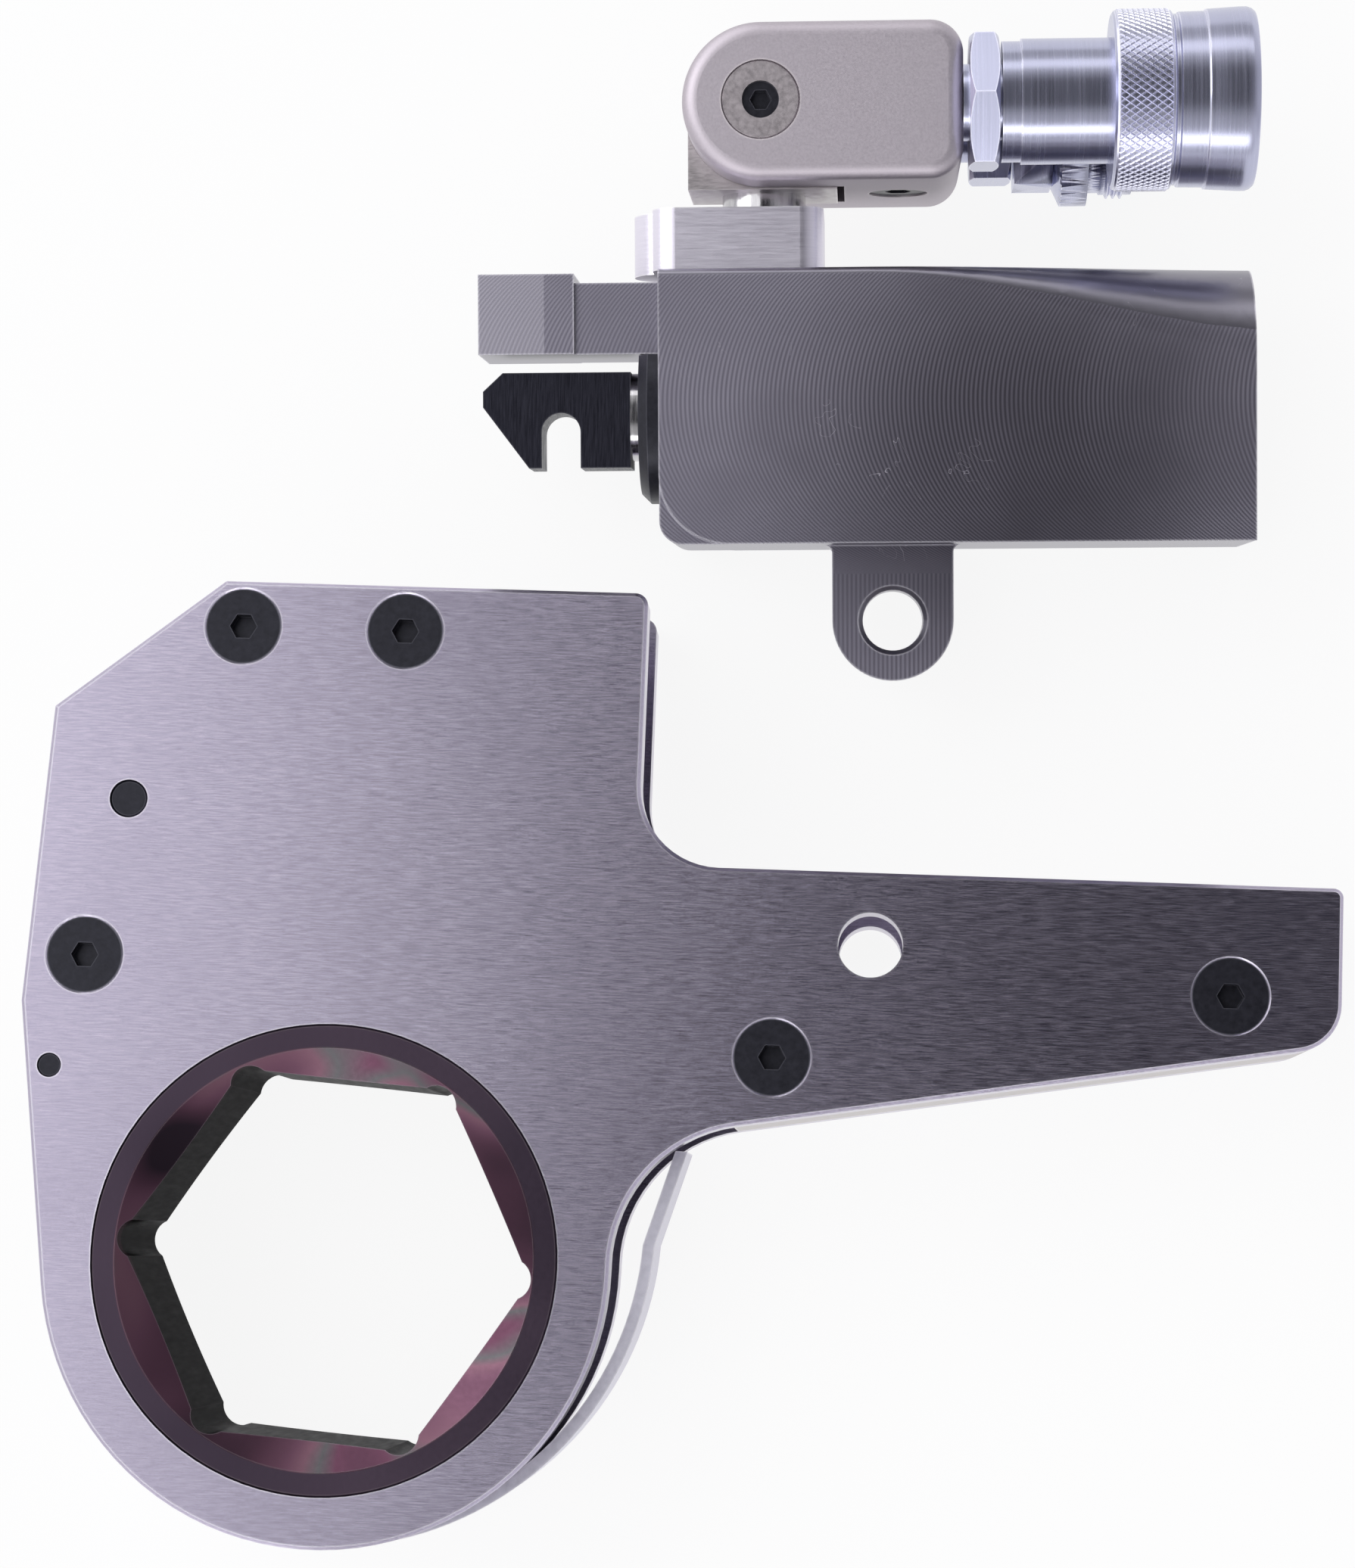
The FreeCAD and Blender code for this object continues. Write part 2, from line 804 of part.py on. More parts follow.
def drive_plate(name, low):
    """Lever plate: a ring that turns on the ratchet's hub and an arm up to the drive pin."""
    body = new_body(name)
    length = root(drive_x * drive_x + drive_y * drive_y)
    side_x = drive_y / length
    side_y = drive_x / length
    points = [
        (drive_x - side_x * lever_eye, drive_y + side_y * lever_eye),
        (-side_x * lever_foot, side_y * lever_foot),
        (side_x * lever_foot, -side_y * lever_foot),
        (drive_x + side_x * lever_eye, drive_y - side_y * lever_eye),
    ]
    pad(body, outline(body, points, low), lever_plate)
    pad(body, circles(body, [(0, 0, lever_ring)], low), lever_plate)
    pad(body, circles(body, [(drive_x, drive_y, lever_eye)], low), lever_plate)
    holes = [
        (0, 0, hub + hub_play),
        (drive_x, drive_y, drive_pin_r),
        (lever_pawl_x, lever_pawl_y, lever_pawl_pin),
    ]
    pocket(body, circles(body, holes, low + lever_plate), lever_plate)
    return body


def pawl(name, x, y, eye, pin_radius, tip_turn):
    """Pawl from its pin to the tooth circle, held just clear of the tooth tips."""
    body = new_body(name)
    tip_x, tip_y = polar(tip_circle, tip_turn)
    toe_x, toe_y = polar(tip_circle + pawl_toe, tip_turn)
    run_x, run_y = tip_x - x, tip_y - y
    run = root(run_x * run_x + run_y * run_y)
    side_x, side_y = run_y / run * eye, run_x / run * eye
    points = [
        (x + side_x, y - side_y),
        (x - side_x, y + side_y),
        (tip_x, tip_y),
        (toe_x, toe_y),
    ]
    thick = tooth_high - tooth_low
    first, second, third, last = points
    near = [second, first, last, third]
    pad(body, outline(body, near, tooth_low), thick)
    pad(body, circles(body, [(x, y, eye)], tooth_low), thick)
    pocket(body, circles(body, [(x, y, pin_radius + pin_play)], tooth_high), thick)
    return body


# The power head lies on its back on two lines: its own lower back edge and the plug coupler's flange,
# which stands further out than the body, so the whole head leans by a few degrees.
arm_y = pivot_y.value - body_low.value
arm_z = spread.value - body_half.value
lean = math.asin(flange.value / math.hypot(arm_y, arm_z)) + math.atan2(arm_z, arm_y)
head_lift = body_half.value * math.cos(lean) - body_low.value * math.sin(lean)
lean_turn = Rotation(Vector(1, 0, 0), math.degrees(lean))
head_place = Placement(
    Vector(head_x.value, head_y.value, head_lift),
    Rotation(Vector(0, 0, 1), head_turn.value).multiply(lean_turn),
)
along_x = Rotation(Vector(0, 1, 0), 90)
along_y = Rotation(Vector(1, 0, 0), -90)


def on_head(body, x=0, y=0, z=0, turned=Rotation()):
    """Puts a piece into the leaning head at a place of the head's own frame."""
    spot = Vector(as_dim(x).value, as_dim(y).value, as_dim(z).value)
    body.Placement = head_place.multiply(Placement(spot, turned))
    return body


def box(name, low, high):
    """Block between two opposite corners."""
    part = doc.addObject("Part::Box", name)
    low = [as_dim(item) for item in low]
    high = [as_dim(item) for item in high]
    for path, start, end in zip(("Length", "Width", "Height"), low, high):
        bind(part, path, end - start)
    for axis, start in zip("xyz", low):
        bind(part, f"Placement.Base.{axis}", start)
    return part


def head_block():
    """Block whose two top edges are rounded more and more towards the right end."""
    left = box("block_left", (body_left, body_low, -body_half), (crown_start, body_high, body_half))
    far = box("block_right", (crown_start, body_low, -body_half), (body_right, body_high, body_half))
    block = doc.addObject("Part::MultiFuse", "block")
    block.Shapes = [left, far]
    block.Refine = False
    doc.recompute()
    crowned = doc.addObject("Part::Fillet", "crowned_block")
    crowned.Base = block
    edges = []
    for index, edge in enumerate(block.Shape.Edges):
        first, last = edge.Vertexes[0].Point, edge.Vertexes[-1].Point
        lies_along = abs(first.x - last.x) > 1
        at_top = abs(first.y - body_high.value) < 1e-4 and abs(last.y - body_high.value) < 1e-4
        if not (lies_along and at_top):
            continue
        radii = [crown_at(point.x) for point in (first, last)]
        edges.append((index + 1, radii[0], radii[1]))
    crowned.Edges = edges
    doc.recompute()
    return crowned


def crown_at(x):
    """Rounding radius of the top edges at x: small on the left, growing to the right end."""
    share = (x - crown_start.value) / (body_right.value - crown_start.value)
    return crown_small.value + max(share, 0) * (crown_large.value - crown_small.value)


def corner_tool(name, low):
    """Stepped corner of the machined face: a square with the face's round corner left standing."""
    square = box(
        name + "_square",
        (body_left - 1, body_low - 1, low),
        (body_left + body_corner, body_low + body_corner, low + body_step),
    )
    stay = cylinder(name + "_round", body_corner, body_step)
    bind(stay, "Placement.Base.x", body_left + body_corner)
    bind(stay, "Placement.Base.y", body_low + body_corner)
    bind(stay, "Placement.Base.z", low)
    return cut(name, square, stay)


def cylinder_body():
    """Body of the power head with its bore, fixed nose and mounting lug in one forging."""
    stepped = cut("stepped_front", head_block(), corner_tool("front_corner", body_half - body_step))
    blank = cut("stepped_back", stepped, corner_tool("back_corner", -body_half))
    doc.recompute()
    body = new_body("cylinder_body")
    body.BaseFeature = blank
    doc.recompute()
    dress(body, "Fillet", upright_at((body_left, body_low)), body_outer)
    thin = nose_depth - nose_thin * 2
    overlap = as_dim(2)
    bar = [
        (nose_left, nose_low),
        (body_left + overlap, nose_low),
        (body_left + overlap, body_high - crown_small),
        (nose_left, body_high - crown_small),
    ]
    pad(body, outline(body, bar, -thin / 2), thin)
    end = nose_left + nose_pad
    tip = [(nose_left, nose_low), (end, nose_low), (end, body_high), (nose_left, body_high)]
    pad(body, outline(body, tip, -nose_depth / 2), nose_depth)
    lug = [(-lug_half, 0), (lug_half, 0), (lug_half, body_low + overlap), (-lug_half, body_low + overlap)]
    pad(body, outline(body, lug, -lug_depth / 2), lug_depth)
    pad(body, circles(body, [(0, 0, lug_half)], -lug_depth / 2), lug_depth)
    dress(body, "Fillet", upright_at((-lug_half, body_low), (lug_half, body_low)), lug_flare)
    pocket(body, circles(body, [(0, 0, lug_hole)], lug_depth / 2), lug_depth)
    for height in (lug_depth / 2, -lug_depth / 2):
        dress(body, "Chamfer", ring_edge(0, 0, lug_hole, height), lug_rim)
    bores = [
        (cap_radius, body_right, cap_length, False),
        (bore, body_right, body_right - bore_end, False),
        (gland_radius, body_left, gland_length, True),
        (rod + rod_play, body_left, body_right - body_left, True),
    ]
    for radius, start, depth, rightwards in bores:
        sketch = circles(body, [(axis_y, 0, radius)], start, "YZ_Plane")
        pocket(body, sketch, depth, up=rightwards)
    return on_head(body)


def ring_piece(name, inner, outer, length, x):
    """Plain turned ring on the cylinder's axis."""
    body = new_body(name)
    turn(body, [(inner, 0), (outer, 0), (outer, length), (inner, length)])
    return on_head(body, x, axis_y, 0, along_x)


piston_right = body_right - cap_length - piston_gap
piston_left = piston_right - piston_length


def end_cap():
    """Threaded cap that closes the bore, with two holes for a pin spanner."""
    body = new_body("end_cap")
    edge = hub_break
    turn(body, [(0, 0), (cap_radius, 0), (cap_radius, cap_length - edge), (cap_radius - edge, cap_length), (0, cap_length)])
    reach = cap_radius * 2 / 3
    holes = [(0, reach, disc_screw / 2), (0, -reach, disc_screw / 2)]
    pocket(body, circles(body, holes, cap_length), cap_length / 2)
    return on_head(body, body_right - cap_length, axis_y, 0, along_x)


def piston():
    body = new_body("piston")
    outer = bore - pin_play
    middle = (piston_length - seal_width) / 2
    turn(body, [(0, 0), (outer, 0), (outer, piston_length), (0, piston_length)])
    seat = outer - seal_wall
    far = middle + seal_width
    groove(body, [(seat, middle), (bore, middle), (bore, far), (seat, far)])
    return on_head(body, piston_left, axis_y, 0, along_x)


def gland():
    """Rod gland pressed into the body's left wall, grooved for the rod seal."""
    body = new_body("rod_gland")
    inner = rod + rod_play
    turn(body, [(inner, 0), (gland_radius, 0), (gland_radius, gland_length), (inner, gland_length)])
    middle = (gland_length - seal_width) / 2
    seat = inner + seal_wall
    far = middle + seal_width
    groove(body, [(rod, middle), (seat, middle), (seat, far), (rod, far)])
    return on_head(body, body_left, axis_y, 0, along_x)


def keeper_plate():
    """Black retaining plate over the gland, flat on top to clear the nose."""
    body = new_body("gland_keeper")
    inner = rod + rod_play * 4
    wide = keeper - keeper_chamfer
    points = [
        (inner, 0),
        (wide, 0),
        (keeper, keeper_chamfer),
        (keeper, keeper_depth),
        (inner, keeper_depth),
    ]
    turn(body, points)
    flat = nose_low - axis_y - tip_gap
    block = [(-keeper, flat), (keeper, flat), (keeper, keeper + flat), (-keeper, keeper + flat)]
    pocket(body, outline(body, block, keeper_depth), keeper_depth)
    return on_head(body, body_left - keeper_depth, axis_y, 0, along_x)


def piston_rod():
    body = new_body("piston_rod")
    length = piston_left - hook_right
    turn(body, [(0, 0), (rod, 0), (rod, length), (0, length)])
    return on_head(body, hook_right, axis_y, 0, along_x)


def drive_hook():
    """Hook that drops over the drive pin, with its notch open downwards."""
    body = new_body("drive_hook")
    leg = notch_x - notch
    points = [
        (hook_beak_x, hook_top),
        (hook_left, hook_beak_y),
        (hook_left, hook_chin_y),
        (hook_tip_x, hook_low),
        (leg, hook_low),
        (leg, notch_y),
        (notch_x + notch, notch_y),
        (notch_x + notch, hook_low),
        (hook_right, hook_low),
        (hook_right, hook_top),
    ]
    pad(body, outline(body, points, -hook_depth / 2), hook_depth)
    pocket(body, circles(body, [(notch_x, notch_y, notch)], hook_depth / 2), hook_depth)
    return on_head(body)


def swivel_base():
    """Block on top of the body that carries the swivel post, with a round boss on its left."""
    body = new_body("swivel_base")
    points = [
        (base_left, body_high),
        (base_right, body_high),
        (base_right, base_high),
        (base_left, base_high),
    ]
    pad(body, outline(body, points, -base_half), base_half * 2)
    half = base_half.value
    ends = (base_left.value, base_right.value)

    def stands(edge):
        first, last = edge.Vertexes[0].Point, edge.Vertexes[-1].Point
        level = abs(first.x - last.x) < 1e-4 and abs(first.z - last.z) < 1e-4
        at_end = min(abs(first.x - end) for end in ends) < 1e-4
        return level and at_end and abs(abs(first.z) - half) < 1e-4

    dress(body, "Fillet", stands, base_corner)
    tall = base_high - body_high
    pad(body, circles(body, [(boss_x, 0, boss)], -base_high, "XZ_Plane"), tall)
    bore_sketch = circles(body, [(post_x, 0, post + pin_play)], -base_high, "XZ_Plane")
    pocket(body, bore_sketch, tall, up=True)
    seat = circles(body, [(post_x, 0, post_flange + pin_play)], -body_high, "XZ_Plane")
    pocket(body, seat, flange_depth + side_play * 2)
    return on_head(body)


def swivel_post():
    """Turning post, held down by its flange under the base and screwed into the knuckle."""
    body = new_body("swivel_post")
    foot = side_play
    shank = knuckle_low - body_high
    points = [
        (0, foot),
        (post_flange, foot),
        (post_flange, foot + flange_depth),
        (post, foot + flange_depth),
        (post, shank),
        (spigot, shank),
        (spigot, shank + spigot_depth),
        (0, shank + spigot_depth),
    ]
    turn(body, points)
    return on_head(body, post_x, body_high, 0, along_y)


def knuckle():
    """Swivel block on the post, round on top about the manifold's pivot."""
    body = new_body("knuckle")
    left, far = post_x - knuckle_wide, post_x + knuckle_wide
    points = [(left, knuckle_low), (far, knuckle_low), (far, pivot_y), (left, pivot_y)]
    thick = knuckle_half * 2
    pad(body, outline(body, points, -knuckle_half), thick)
    pad(body, circles(body, [(post_x, pivot_y, knuckle_wide)], -knuckle_half), thick)
    pocket(body, circles(body, [(post_x, pivot_y, spindle + pin_play)], knuckle_half), thick)
    socket = circles(body, [(post_x, 0, spigot)], -knuckle_low, "XZ_Plane")
    pocket(body, socket, spigot_depth)
    return on_head(body)


def manifold():
    """Two-cheeked hydraulic block that tilts on the knuckle and carries both couplers."""
    body = new_body("manifold")
    low, high = pivot_y - cheek, pivot_y + cheek
    points = [(post_x, low), (manifold_right, low), (manifold_right, high), (post_x, high)]
    thick = manifold_half * 2
    pad(body, outline(body, points, -manifold_half), thick)
    pad(body, circles(body, [(post_x, pivot_y, cheek)], -manifold_half), thick)
    dress(body, "Fillet", upright_at((manifold_right, low), (manifold_right, high)), manifold_corner)
    outer = manifold_half.value

    def on_face(edge):
        box_of = edge.BoundBox
        return abs(box_of.ZMax - box_of.ZMin) < 1e-4 and abs(abs(box_of.ZMin) - outer) < 1e-4

    dress(body, "Fillet", on_face, manifold_edge)
    inside = knuckle_half + cheek_play
    far = post_x + slot_reach
    past = post_x - cheek - 1
    slot = [(past, low - 1), (far, low - 1), (far, high + 1), (past, high + 1)]
    pocket(body, outline(body, slot, inside), inside * 2)
    spot = (post_x, pivot_y)
    pocket(body, circles(body, [(*spot, spindle)], manifold_half), thick)
    pocket(body, circles(body, [(*spot, disc)], manifold_half), disc_depth)
    pocket(body, circles(body, [(*spot, disc)], -manifold_half), disc_depth, up=True)
    ports = [(pivot_y, spread, port_bore), (pivot_y, -spread, port_bore)]
    pocket(body, circles(body, ports, manifold_right, "YZ_Plane"), port_reach)
    drain = circles(body, [(port_x, 0, port)], -low, "XZ_Plane")
    pocket(body, drain, port_depth)
    return on_head(body)


def pivot_spindle():
    body = new_body("pivot_spindle")
    length = (manifold_half - disc_depth) * 2
    turn(body, [(0, 0), (spindle, 0), (spindle, length), (0, length)])
    return on_head(body, post_x, pivot_y, -length / 2)


def pivot_disc(name, facing_up):
    """Flush disc over the spindle's end, screwed to it through its middle."""
    body = new_body(name)
    edge = hub_break
    points = [
        (disc_screw, 0),
        (disc, 0),
        (disc, disc_depth - edge),
        (disc - edge, disc_depth),
        (disc_screw, disc_depth),
    ]
    turn(body, points)
    return on_side(body, facing_up, manifold_half - disc_depth)


def on_side(body, facing_up, height):
    turned = Rotation() if facing_up else Rotation(Vector(1, 0, 0), 180)
    return on_head(body, post_x, pivot_y, height if facing_up else -height, turned)


def disc_screw_piece(name, facing_up):
    """Set screw in the middle of the disc, a little below its face."""
    body = new_body(name)
    length = disc_depth - bevel
    turn(body, [(0, 0), (disc_screw, 0), (disc_screw, length), (0, length)])
    pocket(body, outline(body, hexagon(disc_screw), length), length / 2)
    return on_side(body, facing_up, manifold_half - disc_depth)


def port_plug():
    """Plug that closes the drilling in the manifold's underside."""
    body = new_body("port_plug")
    length = port_depth - hub_break
    edge = hub_break
    points = [(0, 0), (port, 0), (port, length - edge), (port - edge, length), (0, length)]
    turn(body, points)
    pocket(body, outline(body, hexagon(hex_key), length), key_depth)
    out_down = Rotation(Vector(1, 0, 0), 90)
    return on_head(body, port_x, pivot_y - cheek + port_depth, 0, out_down)


def on_port(body, depth):
    """Places a coupler piece on its axis at the manifold's end face."""
    return on_head(body, manifold_right, pivot_y, depth, along_x)


def adapter(name, neck, neck_end, flats, hex_start, hex_end, depth):
    """Screwed adapter: spigot in the manifold's port and a hexagon for the spanner."""
    body = new_body(name)
    turn(body, [(0, -port_reach), (port_bore, -port_reach), (port_bore, 0), (neck, 0), (neck, neck_end), (0, neck_end)])
    pad(body, outline(body, hexagon(flats), hex_start), hex_end - hex_start)
    crown = flats / root(as_dim(3))
    edge = crown - flats / 2
    fall = edge / 2
    past = crown + 1
    for near, far in ((hex_start, fall), (hex_end, -fall)):
        corner = [(flats / 2, near), (past, near), (past, near + far * (past - flats / 2) / edge)]
        groove(body, corner)
    return on_port(body, depth)


def socket_coupler():
    """Body of the socket coupler, hollow at the mouth, with a bore for its valve."""
    body = new_body("socket_coupler_body")
    step_end = socket_start + 4
    narrow = socket_body - socket_body_step
    bottom = socket_end - socket_bore_depth
    valve_bore = valve + valve_play
    valve_floor = bottom - valve_length / 2 - valve_travel - 1
    points = [
        (0, socket_start),
        (narrow, socket_start),
        (narrow, step_end),
        (socket_body, step_end),
        (socket_body, socket_end),
        (socket_bore, socket_end),
        (socket_bore, bottom),
        (valve_bore, bottom),
        (valve_bore, valve_floor),
        (0, valve_floor),
    ]
    turn(body, points)
    return on_port(body, spread)


def coupler_sleeve():
    """Knurled sleeve that turns on the socket coupler and screws over the plug coupler."""
    body = new_body("coupler_sleeve")
    inner = socket_body + sleeve_play
    edge = hub_break
    round_off = bevel
    waist_at = collar_end + (sleeve_end - collar_end) * 2 / 5
    points = [
        (inner, collar_start),
        (collar - edge, collar_start),
        (collar, collar_start + edge),
        (collar, collar_end - edge),
        (collar - edge, collar_end),
        (sleeve_waist, collar_end),
        (sleeve_waist, waist_at),
        (sleeve_mouth, sleeve_end - round_off * 2),
        (sleeve_mouth - round_off, sleeve_end),
        (inner + round_off * 2, sleeve_end),
        (inner, socket_end),
    ]
    turn(body, points)
    return on_port(body, spread)


def plug_coupler():
    """Body of the plug coupler: spanner flats, flange, thread and probe."""
    body = new_body("plug_coupler_body")
    waist = plug_flats / 2
    valve_bore = valve + valve_play
    valve_floor = probe_end - bevel - valve_length - valve_travel - 1
    points = [
        (0, plug_start),
        (waist, plug_start),
        (waist, plug_flats_end),
        (flange, flange_start),
        (flange, flange_end),
        (plug_neck, flange_end),
        (plug_neck, thread_start),
        (thread, thread_start),
        (thread, thread_end),
        (probe, thread_end),
        (probe, probe_end),
        (valve_bore, probe_end),
        (valve_bore, valve_floor),
        (0, valve_floor),
    ]
    turn(body, points)
    pad(body, outline(body, hexagon(plug_flats), plug_start), plug_flats_end - plug_start)
    return on_port(body, -spread)


def valve_piece(name, end, depth):
    """Spring-loaded valve that closes a coupler until its partner pushes it in."""
    body = new_body(name)
    nose = valve - bevel
    points = [
        (0, end - valve_length),
        (valve, end - valve_length),
        (valve, end - bevel),
        (nose, end),
        (0, end),
    ]
    turn(body, points)
    return on_port(body, depth)


def make_link():
    zero = as_dim(0)
    return [
        side_plate("side_plate_back", zero, False),
        side_plate("side_plate_front", front_z, True),
        arm_spacer(),
        top_spacer(),
        side_spacer(),
        guard_shroud(),
        screw_group("plate_screws_front", True),
        screw_group("plate_screws_back", False),
        pin("dowel_pin", dowel_x, dowel_y, dowel, sink_rim, full - sink_rim),
        pin("reaction_pawl_pin", pawl_pin_x, pawl_pin_y, pawl_pin, sink_rim, full - sink_rim),
        ratchet_wheel(),
        drive_plate("drive_plate_back", lever_back),
        drive_plate("drive_plate_front", lever_front),
        pin("drive_pin", drive_x, drive_y, drive_pin_r, lever_back, full - lever_back),
        pin("drive_pawl_pin", lever_pawl_x, lever_pawl_y, lever_pawl_pin, lever_back, full - lever_back),
        pawl("drive_pawl", lever_pawl_x, lever_pawl_y, lever_pawl_eye, lever_pawl_pin, lever_pawl_tip),
        pawl("reaction_pawl", pawl_pin_x, pawl_pin_y, rest_pawl_eye, pawl_pin, rest_pawl_tip),
    ]


def make_head():
    piston_seal_at = piston_left + (piston_length - seal_width) / 2
    rod_seal_at = body_left + (gland_length - seal_width) / 2
    ring_in = bore - pin_play - seal_wall
    rod_touch = rod + seal_play
    return [
        cylinder_body(),
        end_cap(),
        gland(),
        keeper_plate(),
        ring_piece("rod_seal", rod_touch, rod + rod_play + seal_wall, seal_width, rod_seal_at),
        piston(),
        ring_piece("piston_seal", ring_in, bore - seal_play, seal_width, piston_seal_at),
        piston_rod(),
        drive_hook(),
        swivel_base(),
        swivel_post(),
        knuckle(),
        manifold(),
        pivot_spindle(),
        pivot_disc("pivot_disc_front", True),
        pivot_disc("pivot_disc_back", False),
        disc_screw_piece("disc_screw_front", True),
        disc_screw_piece("disc_screw_back", False),
        port_plug(),
        adapter("socket_adapter", socket_neck, socket_start, socket_hex, socket_hex_start, socket_hex_end, spread),
        socket_coupler(),
        coupler_sleeve(),
        valve_piece("socket_valve", socket_end - socket_bore_depth + valve_length / 2, spread),
        adapter("plug_adapter", plug_shank, plug_start, plug_hex, plug_hex_start, plug_hex_end, -spread),
        plug_coupler(),
        valve_piece("plug_valve", probe_end - bevel, -spread),
    ]


pieces = make_link() + make_head()
doc.recompute()
for item in doc.Objects:
    if "Invalid" in item.State or "Error" in item.State:
        raise ValueError(f"{item.Name} failed: {item.State}")
for piece in pieces:
    shape = piece.Shape
    if shape.isNull() or not shape.isValid() or not shape.Solids:
        raise ValueError(f"{piece.Label} has no sound solid")
for piece in pieces:
    piece.Shape.exportStep(f"parts/{piece.Label}.step")
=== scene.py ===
import json
import math

import bpy
from mathutils import Matrix, Vector


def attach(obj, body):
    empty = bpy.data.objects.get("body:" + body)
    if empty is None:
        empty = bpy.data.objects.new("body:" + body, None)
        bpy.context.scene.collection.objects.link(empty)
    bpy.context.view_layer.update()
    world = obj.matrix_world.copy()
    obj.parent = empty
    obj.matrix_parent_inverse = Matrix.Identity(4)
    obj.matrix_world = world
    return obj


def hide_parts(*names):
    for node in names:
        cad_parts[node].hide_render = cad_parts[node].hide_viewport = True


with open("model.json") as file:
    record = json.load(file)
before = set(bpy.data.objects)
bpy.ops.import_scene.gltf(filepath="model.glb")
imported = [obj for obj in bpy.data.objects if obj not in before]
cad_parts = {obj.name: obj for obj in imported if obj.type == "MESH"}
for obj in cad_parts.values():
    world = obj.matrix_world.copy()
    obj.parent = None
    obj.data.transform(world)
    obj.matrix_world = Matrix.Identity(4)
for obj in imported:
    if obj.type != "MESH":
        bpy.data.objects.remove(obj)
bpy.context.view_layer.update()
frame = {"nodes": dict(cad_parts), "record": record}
bpy.ops.object.select_all(action="DESELECT")

# Side plates: two flat steel plates, wire-cut to one outline, ground in short strokes along the
# arm and nickel plated. The front one faces the viewer; the back one lies on the floor.


def new_material(name):
    """An empty node material with its Principled shader and output."""
    material = bpy.data.materials.new(name)
    material.use_nodes = True
    nodes = material.node_tree.nodes
    links = material.node_tree.links
    return material, nodes, links, nodes["Principled BSDF"]


def mapped(nodes, links, scale=(1.0, 1.0, 1.0), turn=(0.0, 0.0, 0.0), move=(0.0, 0.0, 0.0)):
    """Object coordinates, moved and turned onto a piece, then stretched."""
    place = nodes.new("ShaderNodeTexCoord")
    frame_in = nodes.new("ShaderNodeMapping")
    frame_in.vector_type = "TEXTURE"
    frame_in.inputs["Location"].default_value = move
    frame_in.inputs["Rotation"].default_value = turn
    stretch = nodes.new("ShaderNodeMapping")
    stretch.inputs["Scale"].default_value = scale
    links.new(place.outputs["Object"], frame_in.inputs["Vector"])
    links.new(frame_in.outputs["Vector"], stretch.inputs["Vector"])
    return stretch.outputs["Vector"]


def dress_node(name, material):
    """Gives a CAD node its finish."""
    node = frame["nodes"][name]
    node.data.materials.clear()
    node.data.materials.append(material)


def build_brushed_group():
    """Short ground strokes: from a stretched vector, a mask of strokes and a roughness."""
    group = bpy.data.node_groups.new("Ground strokes", "ShaderNodeTree")
    socket = group.interface.new_socket
    socket(name="Vector", in_out="INPUT", socket_type="NodeSocketVector")
    socket(name="Rough low", in_out="INPUT", socket_type="NodeSocketFloat")
    socket(name="Rough high", in_out="INPUT", socket_type="NodeSocketFloat")
    socket(name="Mask", in_out="OUTPUT", socket_type="NodeSocketFloat")
    socket(name="Roughness", in_out="OUTPUT", socket_type="NodeSocketFloat")
    nodes, links = group.nodes, group.links
    inside = nodes.new("NodeGroupInput")
    outside = nodes.new("NodeGroupOutput")
    fine = nodes.new("ShaderNodeTexNoise")
    fine.inputs["Scale"].default_value = 1.0
    fine.inputs["Detail"].default_value = 4.0
    fine.inputs["Roughness"].default_value = 0.62
    sharpen = nodes.new("ShaderNodeMapRange")
    sharpen.inputs["From Min"].default_value = 0.34
    sharpen.inputs["From Max"].default_value = 0.66
    spread = nodes.new("ShaderNodeMapRange")
    links.new(inside.outputs["Vector"], fine.inputs["Vector"])
    links.new(fine.outputs["Fac"], sharpen.inputs["Value"])
    links.new(sharpen.outputs["Result"], outside.inputs["Mask"])
    links.new(sharpen.outputs["Result"], spread.inputs["Value"])
    links.new(inside.outputs["Rough low"], spread.inputs["To Min"])
    links.new(inside.outputs["Rough high"], spread.inputs["To Max"])
    links.new(spread.outputs["Result"], outside.inputs["Roughness"])
    return group


def build_edge_group():
    """Worn edges with painted highlight: a mask that is 1 where the rounded normal leaves the
    face's own.
    """
    group = bpy.data.node_groups.new("Worn and highlit edges", "ShaderNodeTree")
    socket = group.interface.new_socket
    socket(name="Width", in_out="INPUT", socket_type="NodeSocketFloat")
    socket(name="Mask", in_out="OUTPUT", socket_type="NodeSocketFloat")
    nodes, links = group.nodes, group.links
    inside = nodes.new("NodeGroupInput")
    outside = nodes.new("NodeGroupOutput")
    rounded = nodes.new("ShaderNodeBevel")
    rounded.samples = 4
    plain = nodes.new("ShaderNodeNewGeometry")
    compare = nodes.new("ShaderNodeVectorMath")
    compare.operation = "DOT_PRODUCT"
    widen = nodes.new("ShaderNodeMapRange")
    widen.inputs["From Min"].default_value = 0.999
    widen.inputs["From Max"].default_value = 0.93
    links.new(inside.outputs["Width"], rounded.inputs["Radius"])
    links.new(rounded.outputs["Normal"], compare.inputs[0])
    links.new(plain.outputs["Normal"], compare.inputs[1])
    links.new(compare.outputs["Value"], widen.inputs["Value"])
    links.new(widen.outputs["Result"], outside.inputs["Mask"])
    return group


brushed_group = build_brushed_group()
edge_group = build_edge_group()


def add_strokes(nodes, links, vector, rough):
    """The ground strokes in a material, with the two ends of their roughness."""
    strokes = nodes.new("ShaderNodeGroup")
    strokes.node_tree = brushed_group
    strokes.inputs["Rough low"].default_value = rough[0]
    strokes.inputs["Rough high"].default_value = rough[1]
    links.new(vector, strokes.inputs["Vector"])
    return strokes


